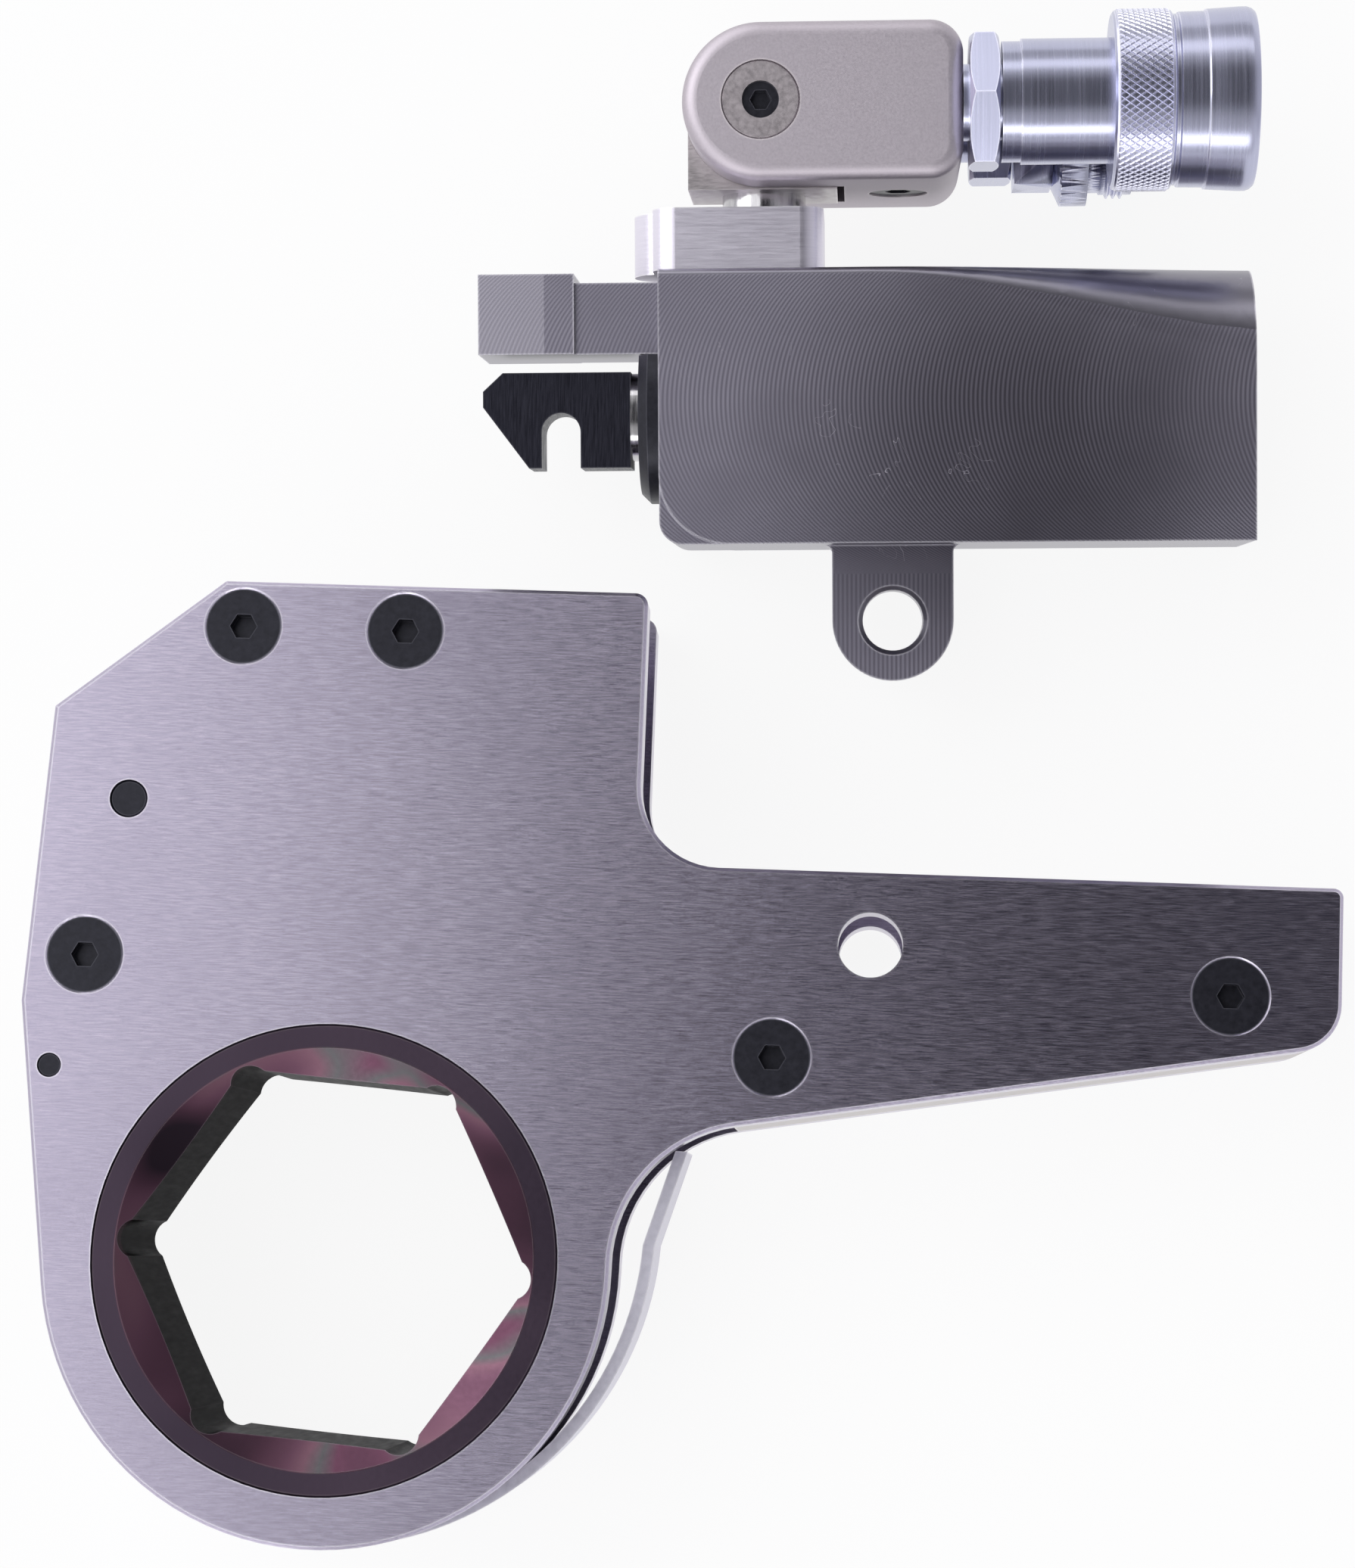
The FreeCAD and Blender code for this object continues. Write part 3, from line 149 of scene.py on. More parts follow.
def add_noise(nodes, links, vector, scale, detail, distortion=0.0):
    """A cloudy or grainy mask."""
    noise = nodes.new("ShaderNodeTexNoise")
    noise.inputs["Scale"].default_value = scale
    noise.inputs["Detail"].default_value = detail
    noise.inputs["Distortion"].default_value = distortion
    links.new(vector, noise.inputs["Vector"])
    return noise.outputs["Fac"]


def mix_colours(nodes, links, mask, low, high):
    """Two colours, or colour outputs, mixed by a mask."""
    mix = nodes.new("ShaderNodeMix")
    mix.data_type = "RGBA"
    links.new(mask, mix.inputs["Factor"])
    for socket_name, colour in (("A", low), ("B", high)):
        inputs = [item for item in mix.inputs if item.name == socket_name]
        target = [item for item in inputs if item.type == "RGBA"][0]
        if isinstance(colour, bpy.types.NodeSocket):
            links.new(colour, target)
        else:
            target.default_value = (*colour, 1.0)
    return [item for item in mix.outputs if item.type == "RGBA"][0]


def wear_and_highlight_edges(nodes, links, shader, tone, edge, width):
    """A tone on the shader, with its edges worn and painted bright as a highlight to a given
    width.
    """
    worn_highlight = nodes.new("ShaderNodeGroup")
    worn_highlight.node_tree = edge_group
    worn_highlight.inputs["Width"].default_value = width
    # The edge colour is partly wear and partly painted highlight on the rounded edges.
    whole = mix_colours(nodes, links, worn_highlight.outputs["Mask"], tone, edge)
    links.new(whole, shader.inputs["Base Color"])


def add_bump(nodes, links, shader, height, strength, distance):
    """Fine relief from a mask."""
    bump = nodes.new("ShaderNodeBump")
    bump.inputs["Strength"].default_value = strength
    bump.inputs["Distance"].default_value = distance
    links.new(height, bump.inputs["Height"])
    links.new(bump.outputs["Normal"], shader.inputs["Normal"])


def ground_steel(name, dark, light, edge, rough, scale, turn=(0.0, 0.0, 0.0), width=0.0006):
    """Ground and plated steel: strokes, a soft cloudiness and bright edges."""
    material, nodes, links, shader = new_material(name)
    strokes = add_strokes(nodes, links, mapped(nodes, links, scale, turn), rough)
    cloud = add_noise(nodes, links, mapped(nodes, links), 14.0, 3.0)
    toned = mix_colours(nodes, links, strokes.outputs["Mask"], dark, light)
    shade = [channel * 0.95 for channel in dark]
    clouded = mix_colours(nodes, links, cloud, shade, toned)
    wear_and_highlight_edges(nodes, links, shader, clouded, edge, width)
    links.new(strokes.outputs["Roughness"], shader.inputs["Roughness"])
    shader.inputs["Metallic"].default_value = 1.0
    add_bump(nodes, links, shader, strokes.outputs["Mask"], 0.12, 0.0001)
    return material


plate_finish = ground_steel(
    "plate nickel",
    dark=(0.420, 0.385, 0.495),
    light=(0.690, 0.640, 0.775),
    edge=(0.800, 0.770, 0.860),
    rough=(0.16, 0.26),
    scale=(240.0, 5400.0, 5400.0),
)
for plate_name in ("side_plate_front", "side_plate_back"):
    dress_node(plate_name, plate_finish)

# Spacers and guard: milled bars clamped between the plates, and a rolled strip round the ring.
# All are nickel plated; the cutter's marks run along their outer faces.
spacer_finish = ground_steel(
    "spacer nickel",
    dark=(0.50, 0.47, 0.47),
    light=(0.68, 0.64, 0.63),
    edge=(0.80, 0.77, 0.77),
    rough=(0.34, 0.48),
    scale=(500.0, 500.0, 2600.0),
)
guard_finish = ground_steel(
    "guard nickel",
    dark=(0.66, 0.645, 0.73),
    light=(0.82, 0.80, 0.88),
    edge=(0.90, 0.88, 0.93),
    rough=(0.42, 0.56),
    scale=(700.0, 700.0, 4000.0),
)
for spacer_name in ("arm_spacer", "top_spacer", "side_spacer"):
    dress_node(spacer_name, spacer_finish)
dress_node("guard_shroud", guard_finish)

# Screws, pins and other blacked steel: turned or milled alloy steel, dipped in hot oxide, with a
# fine pitted skin and a thin oily gloss.


def vary_roughness(nodes, links, shader, mask, low, high, full=1.0):
    """Roughness from a low to a high end as a mask goes from nothing to full."""
    spread = nodes.new("ShaderNodeMapRange")
    spread.inputs["From Max"].default_value = full
    spread.inputs["To Min"].default_value = low
    spread.inputs["To Max"].default_value = high
    links.new(mask, spread.inputs["Value"])
    links.new(spread.outputs["Result"], shader.inputs["Roughness"])


def blacked_steel():
    """Oxide-blacked steel with a slight pitting and greyed edges."""
    skin = (0.009, 0.009, 0.014)
    greyed = [channel * 2.4 + 0.006 for channel in skin]
    edge = [channel * 4.0 + 0.05 for channel in skin]
    material, nodes, links, shader = new_material("black oxide")
    pits = add_noise(nodes, links, mapped(nodes, links), 900.0, 6.0)
    tone = mix_colours(nodes, links, pits, skin, greyed)
    wear_and_highlight_edges(nodes, links, shader, tone, edge, 0.00035)
    vary_roughness(nodes, links, shader, pits, 0.28, 0.48)
    shader.inputs["Metallic"].default_value = 0.55
    add_bump(nodes, links, shader, pits, 0.25, 0.00008)
    return material


black_finish = blacked_steel()
for black_name in (
    "plate_screws_front",
    "plate_screws_back",
    "dowel_pin",
    "reaction_pawl_pin",
    "gland_keeper",
    "disc_screw_front",
    "disc_screw_back",
    "port_plug",
):
    dress_node(black_name, black_finish)

# Ratchet wheel: forged and broached alloy steel, hardened and left with its heat colours, black
# on the broached flats and straw, pink and teal on the turned mouth.


def set_stops(ramp, stops):
    """The colours of a ramp and where they lie on it."""
    while len(ramp.elements) < len(stops):
        ramp.elements.new(0.5)
    for element, (spot, colour) in zip(ramp.elements, stops):
        element.position = spot
        element.color = (*colour, 1.0)


def tempered_steel():
    """Hardened steel: black broached walls, a plum hub face, heat colours on the turned mouth."""
    mouth_radius = 0.0440
    mouth_low = 0.0379
    material, nodes, links, shader = new_material("tempered steel")
    place = mapped(nodes, links)
    split = nodes.new("ShaderNodeSeparateXYZ")
    links.new(place, split.inputs["Vector"])
    flat = nodes.new("ShaderNodeCombineXYZ")
    links.new(split.outputs["X"], flat.inputs["X"])
    links.new(split.outputs["Y"], flat.inputs["Y"])
    reach = nodes.new("ShaderNodeVectorMath")
    reach.operation = "LENGTH"
    links.new(flat.outputs["Vector"], reach.inputs[0])
    on_hub = nodes.new("ShaderNodeMath")
    on_hub.operation = "GREATER_THAN"
    on_hub.inputs[1].default_value = mouth_radius
    links.new(reach.outputs["Value"], on_hub.inputs[0])
    in_mouth = nodes.new("ShaderNodeMath")
    in_mouth.operation = "GREATER_THAN"
    in_mouth.inputs[1].default_value = mouth_low
    links.new(split.outputs["Z"], in_mouth.inputs[0])
    drift = add_noise(nodes, links, place, 24.0, 1.5, 0.6)
    film = nodes.new("ShaderNodeValToRGB")
    heat_colours = [
        (0.30, (0.022, 0.015, 0.022)),
        (0.40, (0.064, 0.031, 0.048)),
        (0.48, (0.108, 0.052, 0.079)),
        (0.53, (0.140, 0.072, 0.098)),
        (0.57, (0.082, 0.080, 0.086)),
        (0.62, (0.098, 0.042, 0.068)),
        (0.74, (0.035, 0.022, 0.032)),
    ]
    set_stops(film.color_ramp, heat_colours)
    links.new(drift, film.inputs["Fac"])
    grain = add_noise(nodes, links, mapped(nodes, links, (900.0, 900.0, 120.0)), 1.0, 4.0)
    walls = mix_colours(nodes, links, grain, (0.006, 0.006, 0.008), (0.020, 0.018, 0.023))
    face = mix_colours(nodes, links, drift, (0.034, 0.026, 0.040), (0.100, 0.072, 0.102))
    bored = mix_colours(nodes, links, in_mouth.outputs["Value"], walls, film.outputs["Color"])
    whole = mix_colours(nodes, links, on_hub.outputs["Value"], bored, face)
    wear_and_highlight_edges(nodes, links, shader, whole, (0.16, 0.13, 0.15), 0.0004)
    vary_roughness(nodes, links, shader, grain, 0.24, 0.44)
    shader.inputs["Metallic"].default_value = 0.9
    shader.inputs["Specular Tint"].default_value = (0.05, 0.045, 0.055, 1.0)
    add_bump(nodes, links, shader, grain, 0.14, 0.00008)
    return material


ratchet_finish = tempered_steel()
for tempered_name in ("ratchet_wheel", "drive_pawl", "reaction_pawl"):
    dress_node(tempered_name, ratchet_finish)

# Drive lever, piston and end cap: ground alloy steel working parts, oiled and unplated. The two
# lever plates carry the drive pin and the drive pawl between them.
lever_finish = ground_steel(
    "ground lever steel",
    dark=(0.16, 0.155, 0.165),
    light=(0.30, 0.29, 0.31),
    edge=(0.42, 0.41, 0.43),
    rough=(0.28, 0.42),
    scale=(1800.0, 260.0, 1800.0),
)
for lever_name in (
    "drive_plate_back",
    "drive_plate_front",
    "drive_pin",
    "drive_pawl_pin",
    "piston",
    "end_cap",
):
    dress_node(lever_name, lever_finish)

# Cylinder body: a forging milled all over and nickel plated. The broad faces keep the arcs of the
# face mill, and the crown over the bore is finished along its length.
joints = {joint["name"]: joint for joint in frame["record"]["behaviour"]["joints"]}
mounts = {mount["name"]: mount for mount in frame["record"]["mounts"]}
head_x = -Vector(joints["ram_stroke"]["axis"])
head_y = Vector(joints["swivel_turn"]["axis"])
head_z = Vector(joints["manifold_tilt"]["axis"])
head_origin = Vector(mounts["lug_bore"]["pos_m"])
head_matrix = Matrix((head_x, head_y, head_z)).transposed().to_4x4()
head_turn = tuple(head_matrix.to_euler())


def milled_body():
    """Nickel over face-mill arcs: circles of the cutter's radius stepped along the body."""
    cutter_radius, cutter_feed, cutter_path = 0.036, 0.00095, 0.046
    pad_end = -0.0745
    # The middle, core and rim of a painted shade on the broad faces.
    shade_middle, shade_core, shade_rim = (0.024, 0.034, 0.026), 0.012, 0.066
    material, nodes, links, shader = new_material("milled body nickel")
    place = mapped(nodes, links, turn=head_turn, move=tuple(head_origin))
    split = nodes.new("ShaderNodeSeparateXYZ")
    links.new(place, split.inputs["Vector"])

    def worked(operation, first, second=None):
        """One step of arithmetic on masks or numbers."""
        node = nodes.new("ShaderNodeMath")
        node.operation = operation
        for index, value in enumerate((first, second)):
            if isinstance(value, bpy.types.NodeSocket):
                links.new(value, node.inputs[index])
            elif value is not None:
                node.inputs[index].default_value = value
        return node.outputs["Value"]

    aside = worked("SUBTRACT", split.outputs["Y"], cutter_path)
    square = worked("SUBTRACT", cutter_radius * cutter_radius, worked("MULTIPLY", aside, aside))
    lead = worked("ADD", split.outputs["X"], worked("SQRT", worked("MAXIMUM", square, 0.0)))
    wave = worked("SINE", worked("MULTIPLY", lead, 2.0 * math.pi / cutter_feed))
    arcs = worked("ADD", worked("MULTIPLY", wave, 0.5), 0.5)
    patch = nodes.new("ShaderNodeMapRange")
    patch.inputs["From Min"].default_value = 0.38
    patch.inputs["From Max"].default_value = 0.62
    links.new(add_noise(nodes, links, place, 26.0, 5.0), patch.inputs["Value"])
    faced = nodes.new("ShaderNodeVectorMath")
    faced.operation = "DOT_PRODUCT"
    faced.inputs[1].default_value = head_z
    links.new(nodes.new("ShaderNodeTexCoord").outputs["Normal"], faced.inputs[0])
    on_face = worked("GREATER_THAN", worked("ABSOLUTE", faced.outputs["Value"]), 0.97)
    depth = worked("ADD", worked("MULTIPLY", patch.outputs["Result"], 0.5), 0.5)
    marks = worked("MULTIPLY", worked("MULTIPLY", arcs, depth), on_face)

    cloud = add_noise(nodes, links, place, 9.0, 1.0)
    face_tone = mix_colours(nodes, links, cloud, (0.175, 0.165, 0.21), (0.28, 0.265, 0.325))
    # Painted shade: the broad faces are darkened in a soft patch round their middle.
    apart = nodes.new("ShaderNodeVectorMath")
    apart.operation = "DISTANCE"
    apart.inputs[1].default_value = shade_middle
    links.new(place, apart.inputs[0])
    painted_shade = nodes.new("ShaderNodeMapRange")
    painted_shade.interpolation_type = "SMOOTHSTEP"
    painted_shade.inputs["From Min"].default_value = shade_rim
    painted_shade.inputs["From Max"].default_value = shade_core
    links.new(apart.outputs["Value"], painted_shade.inputs["Value"])
    face_shaded = mix_colours(nodes, links, painted_shade.outputs["Result"], face_tone, (0.085, 0.08, 0.10))
    pad_tone = mix_colours(nodes, links, cloud, (0.40, 0.38, 0.445), (0.50, 0.48, 0.55))
    on_pad = worked("LESS_THAN", split.outputs["X"], pad_end)
    faces = mix_colours(nodes, links, on_pad, face_shaded, pad_tone)
    tone = mix_colours(nodes, links, on_face, (0.26, 0.25, 0.295), faces)
    # The mill lines also darken inside the same painted shade.
    line_ends = (0.34, 0.325, 0.39), (0.155, 0.145, 0.18)
    line_tone = mix_colours(nodes, links, painted_shade.outputs["Result"], *line_ends)
    marked = mix_colours(nodes, links, marks, tone, line_tone)

    slant = (head_turn[0], head_turn[1], head_turn[2] + 0.5)
    drag = add_noise(nodes, links, mapped(nodes, links, (70.0, 34.0, 70.0), slant), 1.0, 2.0, 2.5)
    hair = worked("LESS_THAN", worked("ABSOLUTE", worked("SUBTRACT", drag, 0.5)), 0.0014)
    rubbed = worked("GREATER_THAN", add_noise(nodes, links, place, 45.0, 2.0), 0.62)
    scratch = worked("MULTIPLY", hair, rubbed)
    scuffed = mix_colours(nodes, links, scratch, marked, (0.42, 0.40, 0.46))
    wear_and_highlight_edges(nodes, links, shader, scuffed, (0.78, 0.76, 0.83), 0.0006)
    vary_roughness(nodes, links, shader, worked("ADD", marks, on_face), 0.30, 0.46, full=2.0)
    shader.inputs["Metallic"].default_value = 1.0
    add_bump(nodes, links, shader, marks, 0.08, 0.0001)
    return material


dress_node("cylinder_body", milled_body())

# Gland and seals: a turned bronze ring that guides the rod behind the keeper plate, and two
# moulded rubber seals, one round the rod and one round the piston.


def plain_turned(name, colour, rough, metallic, scale, grain=0.12):
    """Turned or moulded stock with fine marks round its axis."""
    material, nodes, links, shader = new_material(name)
    strokes = add_strokes(nodes, links, mapped(nodes, links, scale, head_turn), rough)
    low = [channel * 0.78 for channel in colour]
    toned = mix_colours(nodes, links, strokes.outputs["Mask"], low, colour)
    links.new(toned, shader.inputs["Base Color"])
    links.new(strokes.outputs["Roughness"], shader.inputs["Roughness"])
    shader.inputs["Metallic"].default_value = metallic
    add_bump(nodes, links, shader, strokes.outputs["Mask"], grain, 0.0001)
    return material


even_grain = (900.0, 900.0, 900.0)
gland_marks = (3000.0, 400.0, 400.0)
gland_finish = plain_turned("turned bronze", (0.55, 0.38, 0.17), (0.25, 0.4), 1.0, gland_marks)
dress_node("rod_gland", gland_finish)
seal_finish = plain_turned("seal rubber", (0.02, 0.02, 0.022), (0.5, 0.7), 0.0, even_grain)
for seal_name in ("rod_seal", "piston_seal"):
    dress_node(seal_name, seal_finish)

# Rod, swivel post and spindle: hard-chromed bar, ground and polished. The rod carries the hook;
# the swivel turns on the post and tilts on the spindle.
bar_marks = (1500.0, 150.0, 150.0)
chrome_finish = plain_turned("hard chrome", (0.62, 0.61, 0.63), (0.10, 0.2), 1.0, bar_marks, 0.04)
for chrome_name in ("piston_rod", "swivel_post", "pivot_spindle"):
    dress_node(chrome_name, chrome_finish)

# Drive hook: wire-cut tool steel, ground across in fine upright lines and blacked. It is fixed to
# the end of the rod, and its notch pulls the link's drive pin.
hook_finish = ground_steel(
    "blacked hook",
    dark=(0.022, 0.022, 0.031),
    light=(0.058, 0.058, 0.078),
    edge=(0.12, 0.12, 0.14),
    rough=(0.34, 0.48),
    scale=(3600.0, 160.0, 400.0),
    width=0.0004,
)
dress_node("drive_hook", hook_finish)

# Swivel: base, knuckle and two-cheeked manifold, machined, bead blasted and plated in a warm grey
# nickel; the base is milled bright.


def blasted_nickel():
    """Satin warm-grey nickel over a bead-blasted skin."""
    material, nodes, links, shader = new_material("blasted nickel")
    beads = add_noise(nodes, links, mapped(nodes, links), 1900.0, 3.0)
    tone = mix_colours(nodes, links, beads, (0.455, 0.415, 0.46), (0.575, 0.53, 0.575))
    wear_and_highlight_edges(nodes, links, shader, tone, (0.74, 0.69, 0.71), 0.0007)
    vary_roughness(nodes, links, shader, beads, 0.46, 0.60)
    shader.inputs["Metallic"].default_value = 1.0
    add_bump(nodes, links, shader, beads, 0.18, 0.00008)
    return material


dress_node("manifold", blasted_nickel())
disc_nickel = (0.46, 0.42, 0.44)
disc_finish = plain_turned("turned disc nickel", disc_nickel, (0.42, 0.54), 1.0, even_grain)
for disc_name in ("pivot_disc_front", "pivot_disc_back"):
    dress_node(disc_name, disc_finish)
base_finish = ground_steel(
    "milled swivel nickel",
    dark=(0.80, 0.765, 0.87),
    light=(0.88, 0.845, 0.94),
    edge=(0.95, 0.93, 0.97),
    rough=(0.30, 0.38),
    scale=(160.0, 3200.0, 160.0),
    turn=head_turn,
)
knuckle_finish = ground_steel(
    "milled knuckle nickel",
    dark=(0.44, 0.41, 0.42),
    light=(0.58, 0.54, 0.55),
    edge=(0.74, 0.70, 0.71),
    rough=(0.30, 0.44),
    scale=(500.0, 2400.0, 500.0),
    turn=head_turn,
)
dress_node("swivel_base", base_finish)
dress_node("knuckle", knuckle_finish)

# Quick couplers: turned free-cutting steel in bright zinc. The socket carries a sleeve with a
# diamond knurl; the plug carries spanner flats, a flange and an outside thread.


def bright_zinc():
    """Bright zinc over turning marks that run round the coupler's axis."""
    material, nodes, links, shader = new_material("bright zinc")
    turning_marks = mapped(nodes, links, (2200.0, 26.0, 26.0), head_turn)
    strokes = add_strokes(nodes, links, turning_marks, (0.23, 0.28))
    cloud = add_noise(nodes, links, mapped(nodes, links, (1.0, 0.4, 0.4), head_turn), 120.0, 5.0)
    tone_ends = (0.49, 0.50, 0.65), (0.57, 0.58, 0.75)
    tone = mix_colours(nodes, links, strokes.outputs["Mask"], *tone_ends)
    clouded = mix_colours(nodes, links, cloud, (0.47, 0.48, 0.62), tone)
    wear_and_highlight_edges(nodes, links, shader, clouded, (0.84, 0.84, 0.97), 0.0005)
    links.new(strokes.outputs["Roughness"], shader.inputs["Roughness"])
    shader.inputs["Metallic"].default_value = 1.0
    add_bump(nodes, links, shader, strokes.outputs["Mask"], 0.015, 0.00005)
    return material


zinc_finish = bright_zinc()
for zinc_name in (
    "socket_adapter",
    "socket_coupler_body",
    "socket_valve",
    "plug_adapter",
    "plug_valve",
):
    dress_node(zinc_name, zinc_finish)

# Knurled sleeve: turned from bar over the socket body, its collar rolled with a diamond knurl for
# the fingers, its skirt left plain. It turns freely and screws over the plug half.


def turn_ring(name, start, axis, profile, segments):
    """A ring turned about an axis: one circle drawn out from step to step and closed on itself."""
    radius, along = profile[0]
    bpy.ops.mesh.primitive_circle_add(
        vertices=segments,
        radius=radius,
        location=start + axis * along,
        rotation=axis.to_track_quat("Z", "Y").to_euler(),
    )
    piece = bpy.context.object
    piece.name = name
    bpy.ops.object.mode_set(mode="EDIT")
    bpy.ops.mesh.select_all(action="SELECT")
    for next_radius, next_along in profile[1:] + profile[:1]:
        step = axis * (next_along - along)
        bpy.ops.mesh.extrude_region_move(TRANSFORM_OT_translate={"value": step})
        share = next_radius / radius
        middle = start + axis * next_along
        bpy.ops.transform.resize(value=(share, share, share), center_override=middle)
        radius, along = next_radius, next_along
    bpy.ops.mesh.select_all(action="SELECT")
    bpy.ops.mesh.remove_doubles(threshold=0.000002)
    bpy.ops.mesh.normals_make_consistent(inside=False)
    bpy.ops.object.mode_set(mode="OBJECT")
    bpy.ops.object.transform_apply(location=True, rotation=True, scale=True)
    return piece


def turned_place(point, start, axis):
    """How far a point lies along an axis, and how far from it."""
    along = (point - start).dot(axis)
    return along, (point - start - axis * along).length


def select_only(piece, kind, test):
    """Goes to edit mode with only the faces or edges selected that the test picks."""
    bpy.ops.object.mode_set(mode="OBJECT")
    bpy.context.tool_settings.mesh_select_mode = (False, kind == "edges", kind == "faces")
    mesh = piece.data
    for group in (mesh.vertices, mesh.edges, mesh.polygons):
        group.foreach_set("select", [False] * len(group))
    if kind == "faces":
        for face in mesh.polygons:
            face.select = test(face.center)
    else:
        for edge in mesh.edges:
            first, last = (mesh.vertices[index].co for index in edge.vertices)
            edge.select = test(first, last)
    bpy.ops.object.mode_set(mode="EDIT")


manifold_reach = 0.0425
coupler_offset = 0.0180
manifold_face = Vector(joints["manifold_tilt"]["pos_m"]) + head_x * manifold_reach
socket_start = manifold_face + head_z * coupler_offset
plug_start = manifold_face - head_z * coupler_offset
bore_radius = 0.01316
collar_radius = 0.0190
knurl_depth = 0.00028
knurl_base = collar_radius - knurl_depth - 0.00003
knurl_low, knurl_high = 0.0319, 0.0429
knurl_rows = 5
knurl_count = 76
knurl_pitch = (knurl_high - knurl_low) / knurl_rows
knurl_groove = 0.00021
touch = 0.00001
sleeve_profile = [
    (bore_radius, 0.0310),
    (collar_radius - 0.0012, 0.0310),
    (collar_radius - 0.0004, 0.0315),
    (knurl_base, knurl_low),
]
for row in range(1, knurl_rows + 1):
    sleeve_profile.append((knurl_base, knurl_low + knurl_pitch * row))
sleeve_profile += [
    (collar_radius - 0.0004, 0.0433),
    (collar_radius - 0.0012, 0.0438),
    (0.0178, 0.0441),
    (0.0178, 0.0445),
    (0.0182, 0.0449),
    (0.0183, 0.0503),
    (0.0185, 0.0506),
    (0.0187, 0.0506),
    (0.0191, 0.0576),
    (0.0191, 0.0592),
    (0.0188, 0.0601),
    (0.0182, 0.0608),
    (0.0144, 0.0608),
    (bore_radius, 0.0596),
]
sleeve = turn_ring("coupler_sleeve_knurled", socket_start, head_x, sleeve_profile, knurl_count)


def in_knurl(point):
    """Faces of the collar between the two ends of the knurl."""
    along, away = turned_place(point, socket_start, head_x)
    return knurl_low < along < knurl_high and away > knurl_base - 0.0005


def is_straight(first, last):
    """Edges of the square grid inside the knurl, which the diamonds leave out."""
    inner = False
    for point in (first, last):
        along, away = turned_place(point, socket_start, head_x)
        if abs(away - knurl_base) > 0.000004 or not knurl_low - touch < along < knurl_high + touch:
            return False
        inner = inner or knurl_low + touch < along < knurl_high - touch
    return inner


select_only(sleeve, "faces", in_knurl)
bpy.ops.mesh.poke()
select_only(sleeve, "edges", is_straight)
bpy.ops.mesh.dissolve_edges(use_verts=False)
select_only(sleeve, "faces", in_knurl)
bpy.ops.mesh.inset(thickness=knurl_groove, depth=knurl_depth, use_individual=True)
bpy.ops.object.mode_set(mode="OBJECT")
bpy.ops.object.shade_smooth_by_angle(angle=math.radians(24.0))
sleeve.data.materials.append(zinc_finish)
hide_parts("coupler_sleeve")
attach(sleeve, "sleeve_body")
bpy.ops.object.select_all(action="DESELECT")

# Plug half: turned with spanner flats, a flange and a probe, its neck cut with a coarse outside
# thread that the hose's sleeve screws on to.
thread_pitch = 0.0015
thread_crest, thread_root = 0.0159, 0.0150
thread_low, thread_high = 0.0308, 0.0378
thread_turns, thread_steps = 3, 72
plug_node = frame["nodes"]["plug_coupler_body"]
plug = plug_node.copy()
plug.data = plug_node.data.copy()
plug.name = "plug_coupler_threaded"
bpy.context.scene.collection.objects.link(plug)
bpy.context.view_layer.objects.active = plug
plug.select_set(True)
bpy.ops.object.mode_set(mode="EDIT")
bpy.ops.mesh.select_all(action="SELECT")
bpy.ops.mesh.remove_doubles(threshold=0.000005)


def on_rim(rim):
    """A test for the edges of the ring at one end of the thread."""

    def test(first, last):
        for point in (first, last):
            along, away = turned_place(point, plug_start, head_x)
            if abs(along - rim) > 0.00005 or abs(away - thread_crest) > 0.0002:
                return False
        return True

    return test


shrink = thread_root / thread_crest
for rim in (thread_low, thread_high):
    select_only(plug, "edges", on_rim(rim))
    middle = plug_start + head_x * rim
    bpy.ops.transform.resize(value=(shrink, shrink, shrink), center_override=middle)
bpy.ops.object.mode_set(mode="OBJECT")
plug.select_set(False)
along_turn = head_x.to_track_quat("Z", "Y").to_euler()
thread_foot = plug_start + head_x * (thread_low + thread_pitch * 0.6)
bpy.ops.mesh.primitive_plane_add(size=1.0, location=thread_foot, rotation=along_turn)
ridge = bpy.context.object
bpy.ops.object.mode_set(mode="EDIT")
bpy.ops.mesh.select_all(action="SELECT")
bpy.ops.transform.rotate(
    value=math.pi / 2, orient_axis="X", orient_type="LOCAL", center_override=thread_foot
)
ridge_width, ridge_depth = thread_pitch * 0.94, thread_crest - thread_root + 0.0002
bpy.ops.transform.resize(
    value=(ridge_depth, 1.0, ridge_width), orient_type="LOCAL", center_override=thread_foot
)
out_step = (thread_crest - ridge_depth / 2, 0.0, 0.0)
bpy.ops.transform.translate(value=out_step, orient_type="LOCAL")
bpy.ops.object.mode_set(mode="OBJECT")


def on_crest(first, last):
    """The outer edge of the ridge's section, in the ridge's own frame."""
    return min(first.xy.length, last.xy.length) > thread_crest - 0.0002


select_only(ridge, "edges", on_crest)
crest_middle = ridge.matrix_world @ Vector((thread_crest, 0.0, 0.0))
crest_share = (1.0, 1.0, 0.16)
bpy.ops.transform.resize(value=crest_share, orient_type="LOCAL", center_override=crest_middle)
bpy.ops.object.mode_set(mode="OBJECT")
winding = ridge.modifiers.new("thread", "SCREW")
winding.axis = "Z"
winding.screw_offset = thread_pitch
winding.iterations = thread_turns
winding.steps = thread_steps
winding.render_steps = thread_steps
bpy.ops.object.modifier_apply(modifier=winding.name)
bpy.context.tool_settings.mesh_select_mode = (True, False, False)
bpy.ops.object.mode_set(mode="EDIT")
bpy.ops.mesh.select_all(action="SELECT")
bpy.ops.mesh.remove_doubles(threshold=0.000002)
bpy.ops.mesh.fill_holes(sides=4)
bpy.ops.mesh.normals_make_consistent(inside=False)
bpy.ops.object.mode_set(mode="OBJECT")
bpy.ops.object.transform_apply(location=True, rotation=True, scale=True)
plug.select_set(True)
bpy.context.view_layer.objects.active = plug
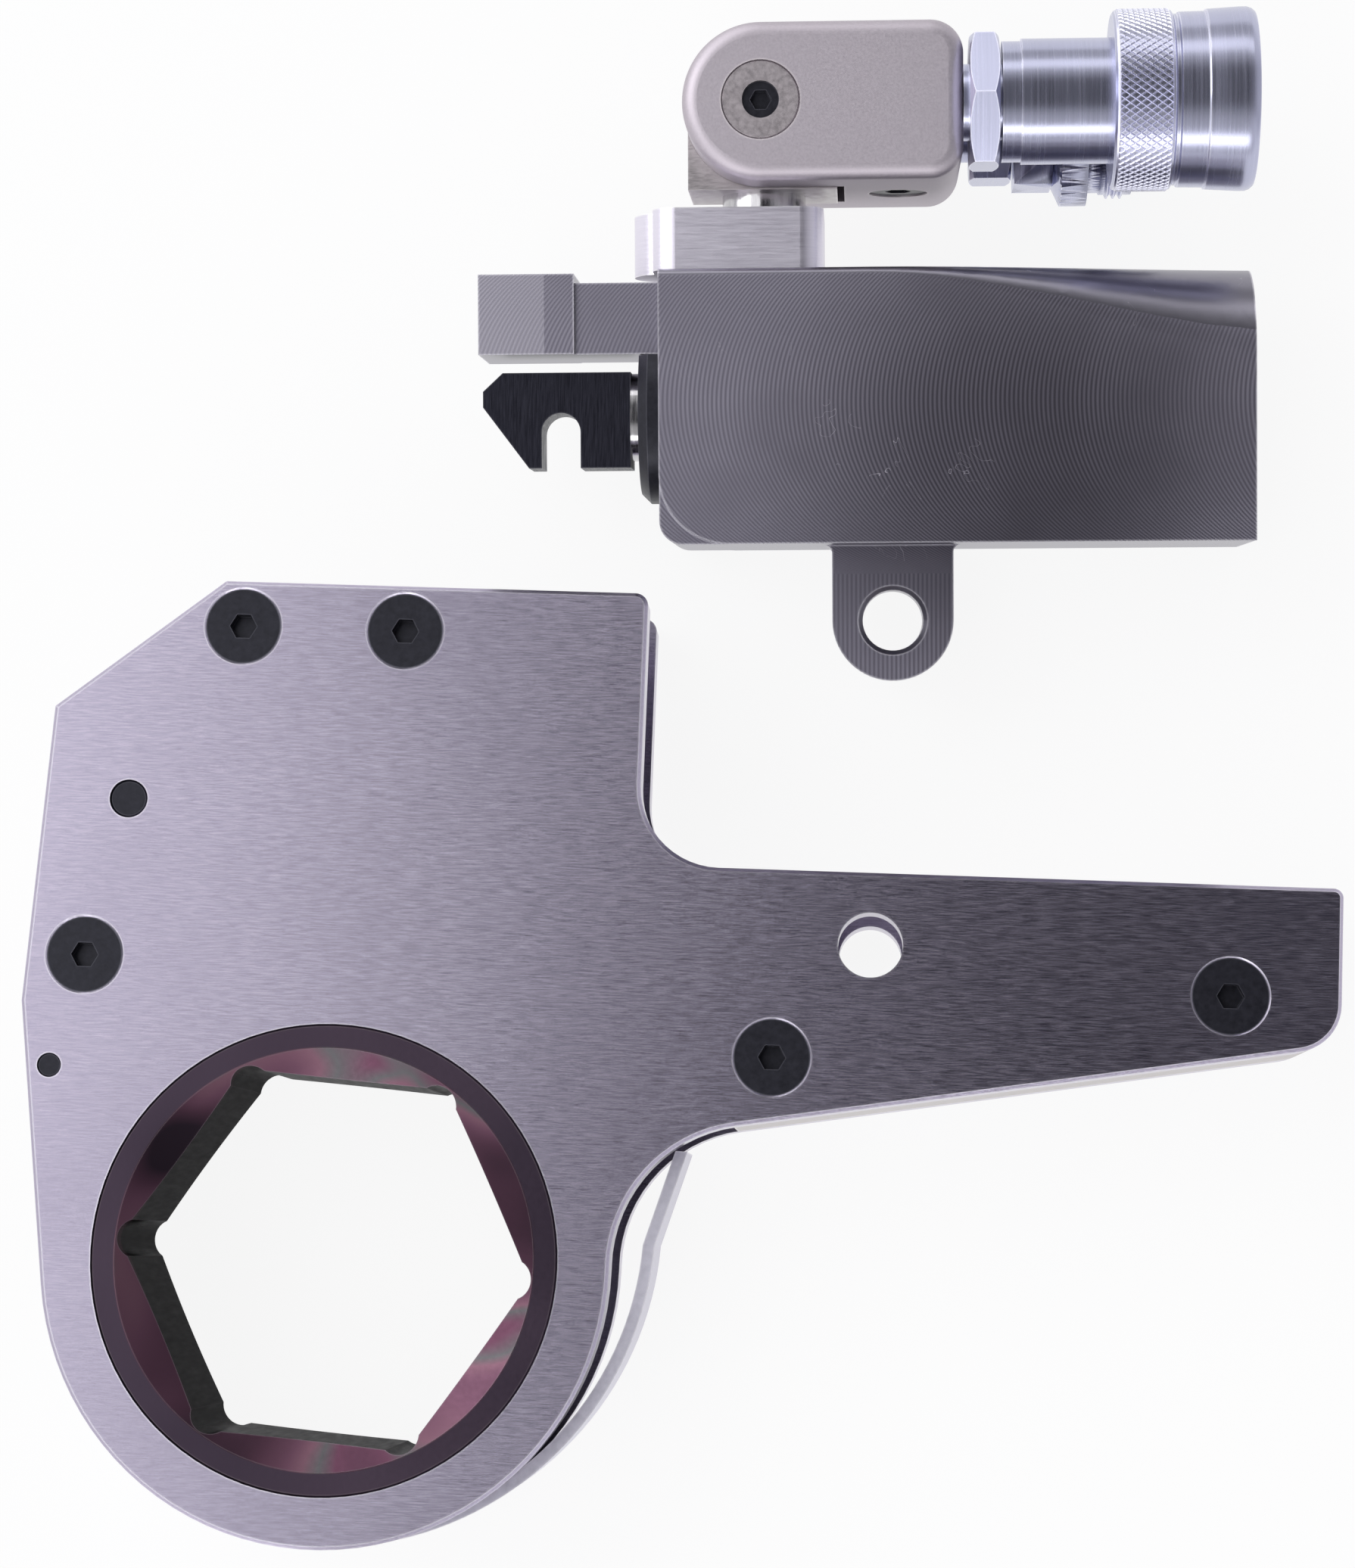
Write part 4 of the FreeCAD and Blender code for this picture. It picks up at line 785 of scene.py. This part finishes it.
bpy.ops.object.join()
bpy.ops.object.shade_smooth_by_angle(angle=math.radians(30.0))
plug.data.materials.clear()
plug.data.materials.append(zinc_finish)
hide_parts("plug_coupler_body")
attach(plug, "manifold_body")
bpy.ops.object.select_all(action="DESELECT")

# Floor: a plain white sheet that the two units lie on. The camera and the metal's reflections see
# it almost pure white; it keeps the units' soft shadow.
floor_drop = 0.0004
bpy.ops.mesh.primitive_plane_add(size=6.0, location=(0.07, 0.10, -floor_drop))
floor = bpy.context.object
floor.name = "floor"


def white_sheet():
    """White paper that the camera and reflections see lit from within."""
    material = bpy.data.materials.new("white sheet")
    material.use_nodes = True
    nodes, links = material.node_tree.nodes, material.node_tree.links
    nodes.remove(nodes["Principled BSDF"])
    paper = nodes.new("ShaderNodeBsdfDiffuse")
    paper.inputs["Color"].default_value = (0.82, 0.82, 0.83, 1.0)
    glow = nodes.new("ShaderNodeEmission")
    glow.inputs["Strength"].default_value = 1.0
    rays = nodes.new("ShaderNodeLightPath")
    seen = nodes.new("ShaderNodeMath")
    seen.operation = "MAXIMUM"
    share = nodes.new("ShaderNodeMath")
    share.operation = "MULTIPLY"
    share.inputs[1].default_value = 0.9
    mix = nodes.new("ShaderNodeMixShader")
    links.new(rays.outputs["Is Camera Ray"], seen.inputs[0])
    links.new(rays.outputs["Is Glossy Ray"], seen.inputs[1])
    links.new(seen.outputs["Value"], share.inputs[0])
    links.new(share.outputs["Value"], mix.inputs["Fac"])
    links.new(paper.outputs["BSDF"], mix.inputs[1])
    links.new(glow.outputs["Emission"], mix.inputs[2])
    links.new(mix.outputs["Shader"], nodes["Material Output"].inputs["Surface"])
    return material


floor.data.materials.append(white_sheet())

# Light: large soft boxes well beyond the left, top and front of the table, under a ceiling that
# is bright on the left, falls to dark grey above the arm and lifts again at its top and front
# ends.
centre = Vector((0.07, 0.10, 0.02))


def soft_box(name, place, width, depth, power):
    """A rectangular lamp turned to the middle of the table."""
    lamp = bpy.data.lights.new(name, "AREA")
    lamp.shape = "RECTANGLE"
    lamp.size = width
    lamp.size_y = depth
    lamp.energy = power
    holder = bpy.data.objects.new(name, lamp)
    bpy.context.scene.collection.objects.link(holder)
    holder.location = place
    holder.rotation_euler = (centre - Vector(place)).to_track_quat("-Z", "Y").to_euler()


soft_box("key box", (-1.25, 0.55, 1.0), 1.0, 1.3, 9.0)
soft_box("top box", (0.2, 1.5, 0.9), 1.3, 0.5, 1.9)
soft_box("front box", (0.1, -1.3, 0.6), 1.2, 0.4, 4.0)
world = bpy.data.worlds.new("room")
bpy.context.scene.world = world
world.use_nodes = True
sky_nodes, sky_links = world.node_tree.nodes, world.node_tree.links
sky_place = sky_nodes.new("ShaderNodeTexCoord")
sky_split = sky_nodes.new("ShaderNodeSeparateXYZ")
sky_links.new(sky_place.outputs["Generated"], sky_split.inputs["Vector"])
sky_span = sky_nodes.new("ShaderNodeMapRange")
sky_span.inputs["From Min"].default_value = -1.0
sky_links.new(sky_split.outputs["X"], sky_span.inputs["Value"])
sky_ramp = sky_nodes.new("ShaderNodeValToRGB")
sky_stops = [
    (0.00, (0.62, 0.62, 0.64)),
    (0.34, (1.58, 1.58, 1.60)),
    (0.403, (1.58, 1.58, 1.60)),
    (0.422, (0.70, 0.70, 0.72)),
    (0.438, (0.08, 0.08, 0.085)),
    (0.49, (0.03, 0.03, 0.035)),
    (0.53, (0.03, 0.03, 0.035)),
    (0.60, (0.05, 0.05, 0.055)),
    (0.72, (0.30, 0.30, 0.32)),
    (1.00, (0.66, 0.66, 0.69)),
]
set_stops(sky_ramp.color_ramp, sky_stops)
sky_links.new(sky_span.outputs["Result"], sky_ramp.inputs["Fac"])
sky_side = sky_nodes.new("ShaderNodeMath")
sky_side.operation = "ABSOLUTE"
sky_links.new(sky_split.outputs["Y"], sky_side.inputs[0])
sky_lift = sky_nodes.new("ShaderNodeMapRange")
sky_lift.interpolation_type = "SMOOTHSTEP"
sky_lift.inputs["From Min"].default_value = 0.34
sky_lift.inputs["From Max"].default_value = 0.72
sky_lift.inputs["To Max"].default_value = 0.42
sky_links.new(sky_side.outputs["Value"], sky_lift.inputs["Value"])
sky_sum = sky_nodes.new("ShaderNodeVectorMath")
sky_sum.operation = "ADD"
sky_links.new(sky_ramp.outputs["Color"], sky_sum.inputs[0])
sky_links.new(sky_lift.outputs["Result"], sky_sum.inputs[1])
sky_links.new(sky_sum.outputs["Vector"], sky_nodes["Background"].inputs["Color"])

# Camera: a long lens held high over the link, looking down and a little towards the top of the
# table, as the photo was taken.
scene = bpy.context.scene
scene.view_settings.view_transform = "Standard"
eye = Vector((0.111991, 0.005646, 0.808422))
look = Vector((-0.05459, 0.12428, -0.99074))
picture_up = Vector((-0.03917, 0.99923, 0.0))
across = look.cross(picture_up).normalized()
upright = across.cross(look)
lens = bpy.data.cameras.new("camera")
lens.sensor_width = 36.0
lens.lens = 84.54
camera = bpy.data.objects.new("camera", lens)
scene.collection.objects.link(camera)
turned = Matrix((across, upright, -look)).transposed().to_4x4()
turned.translation = eye
camera.matrix_world = turned
scene.camera = camera
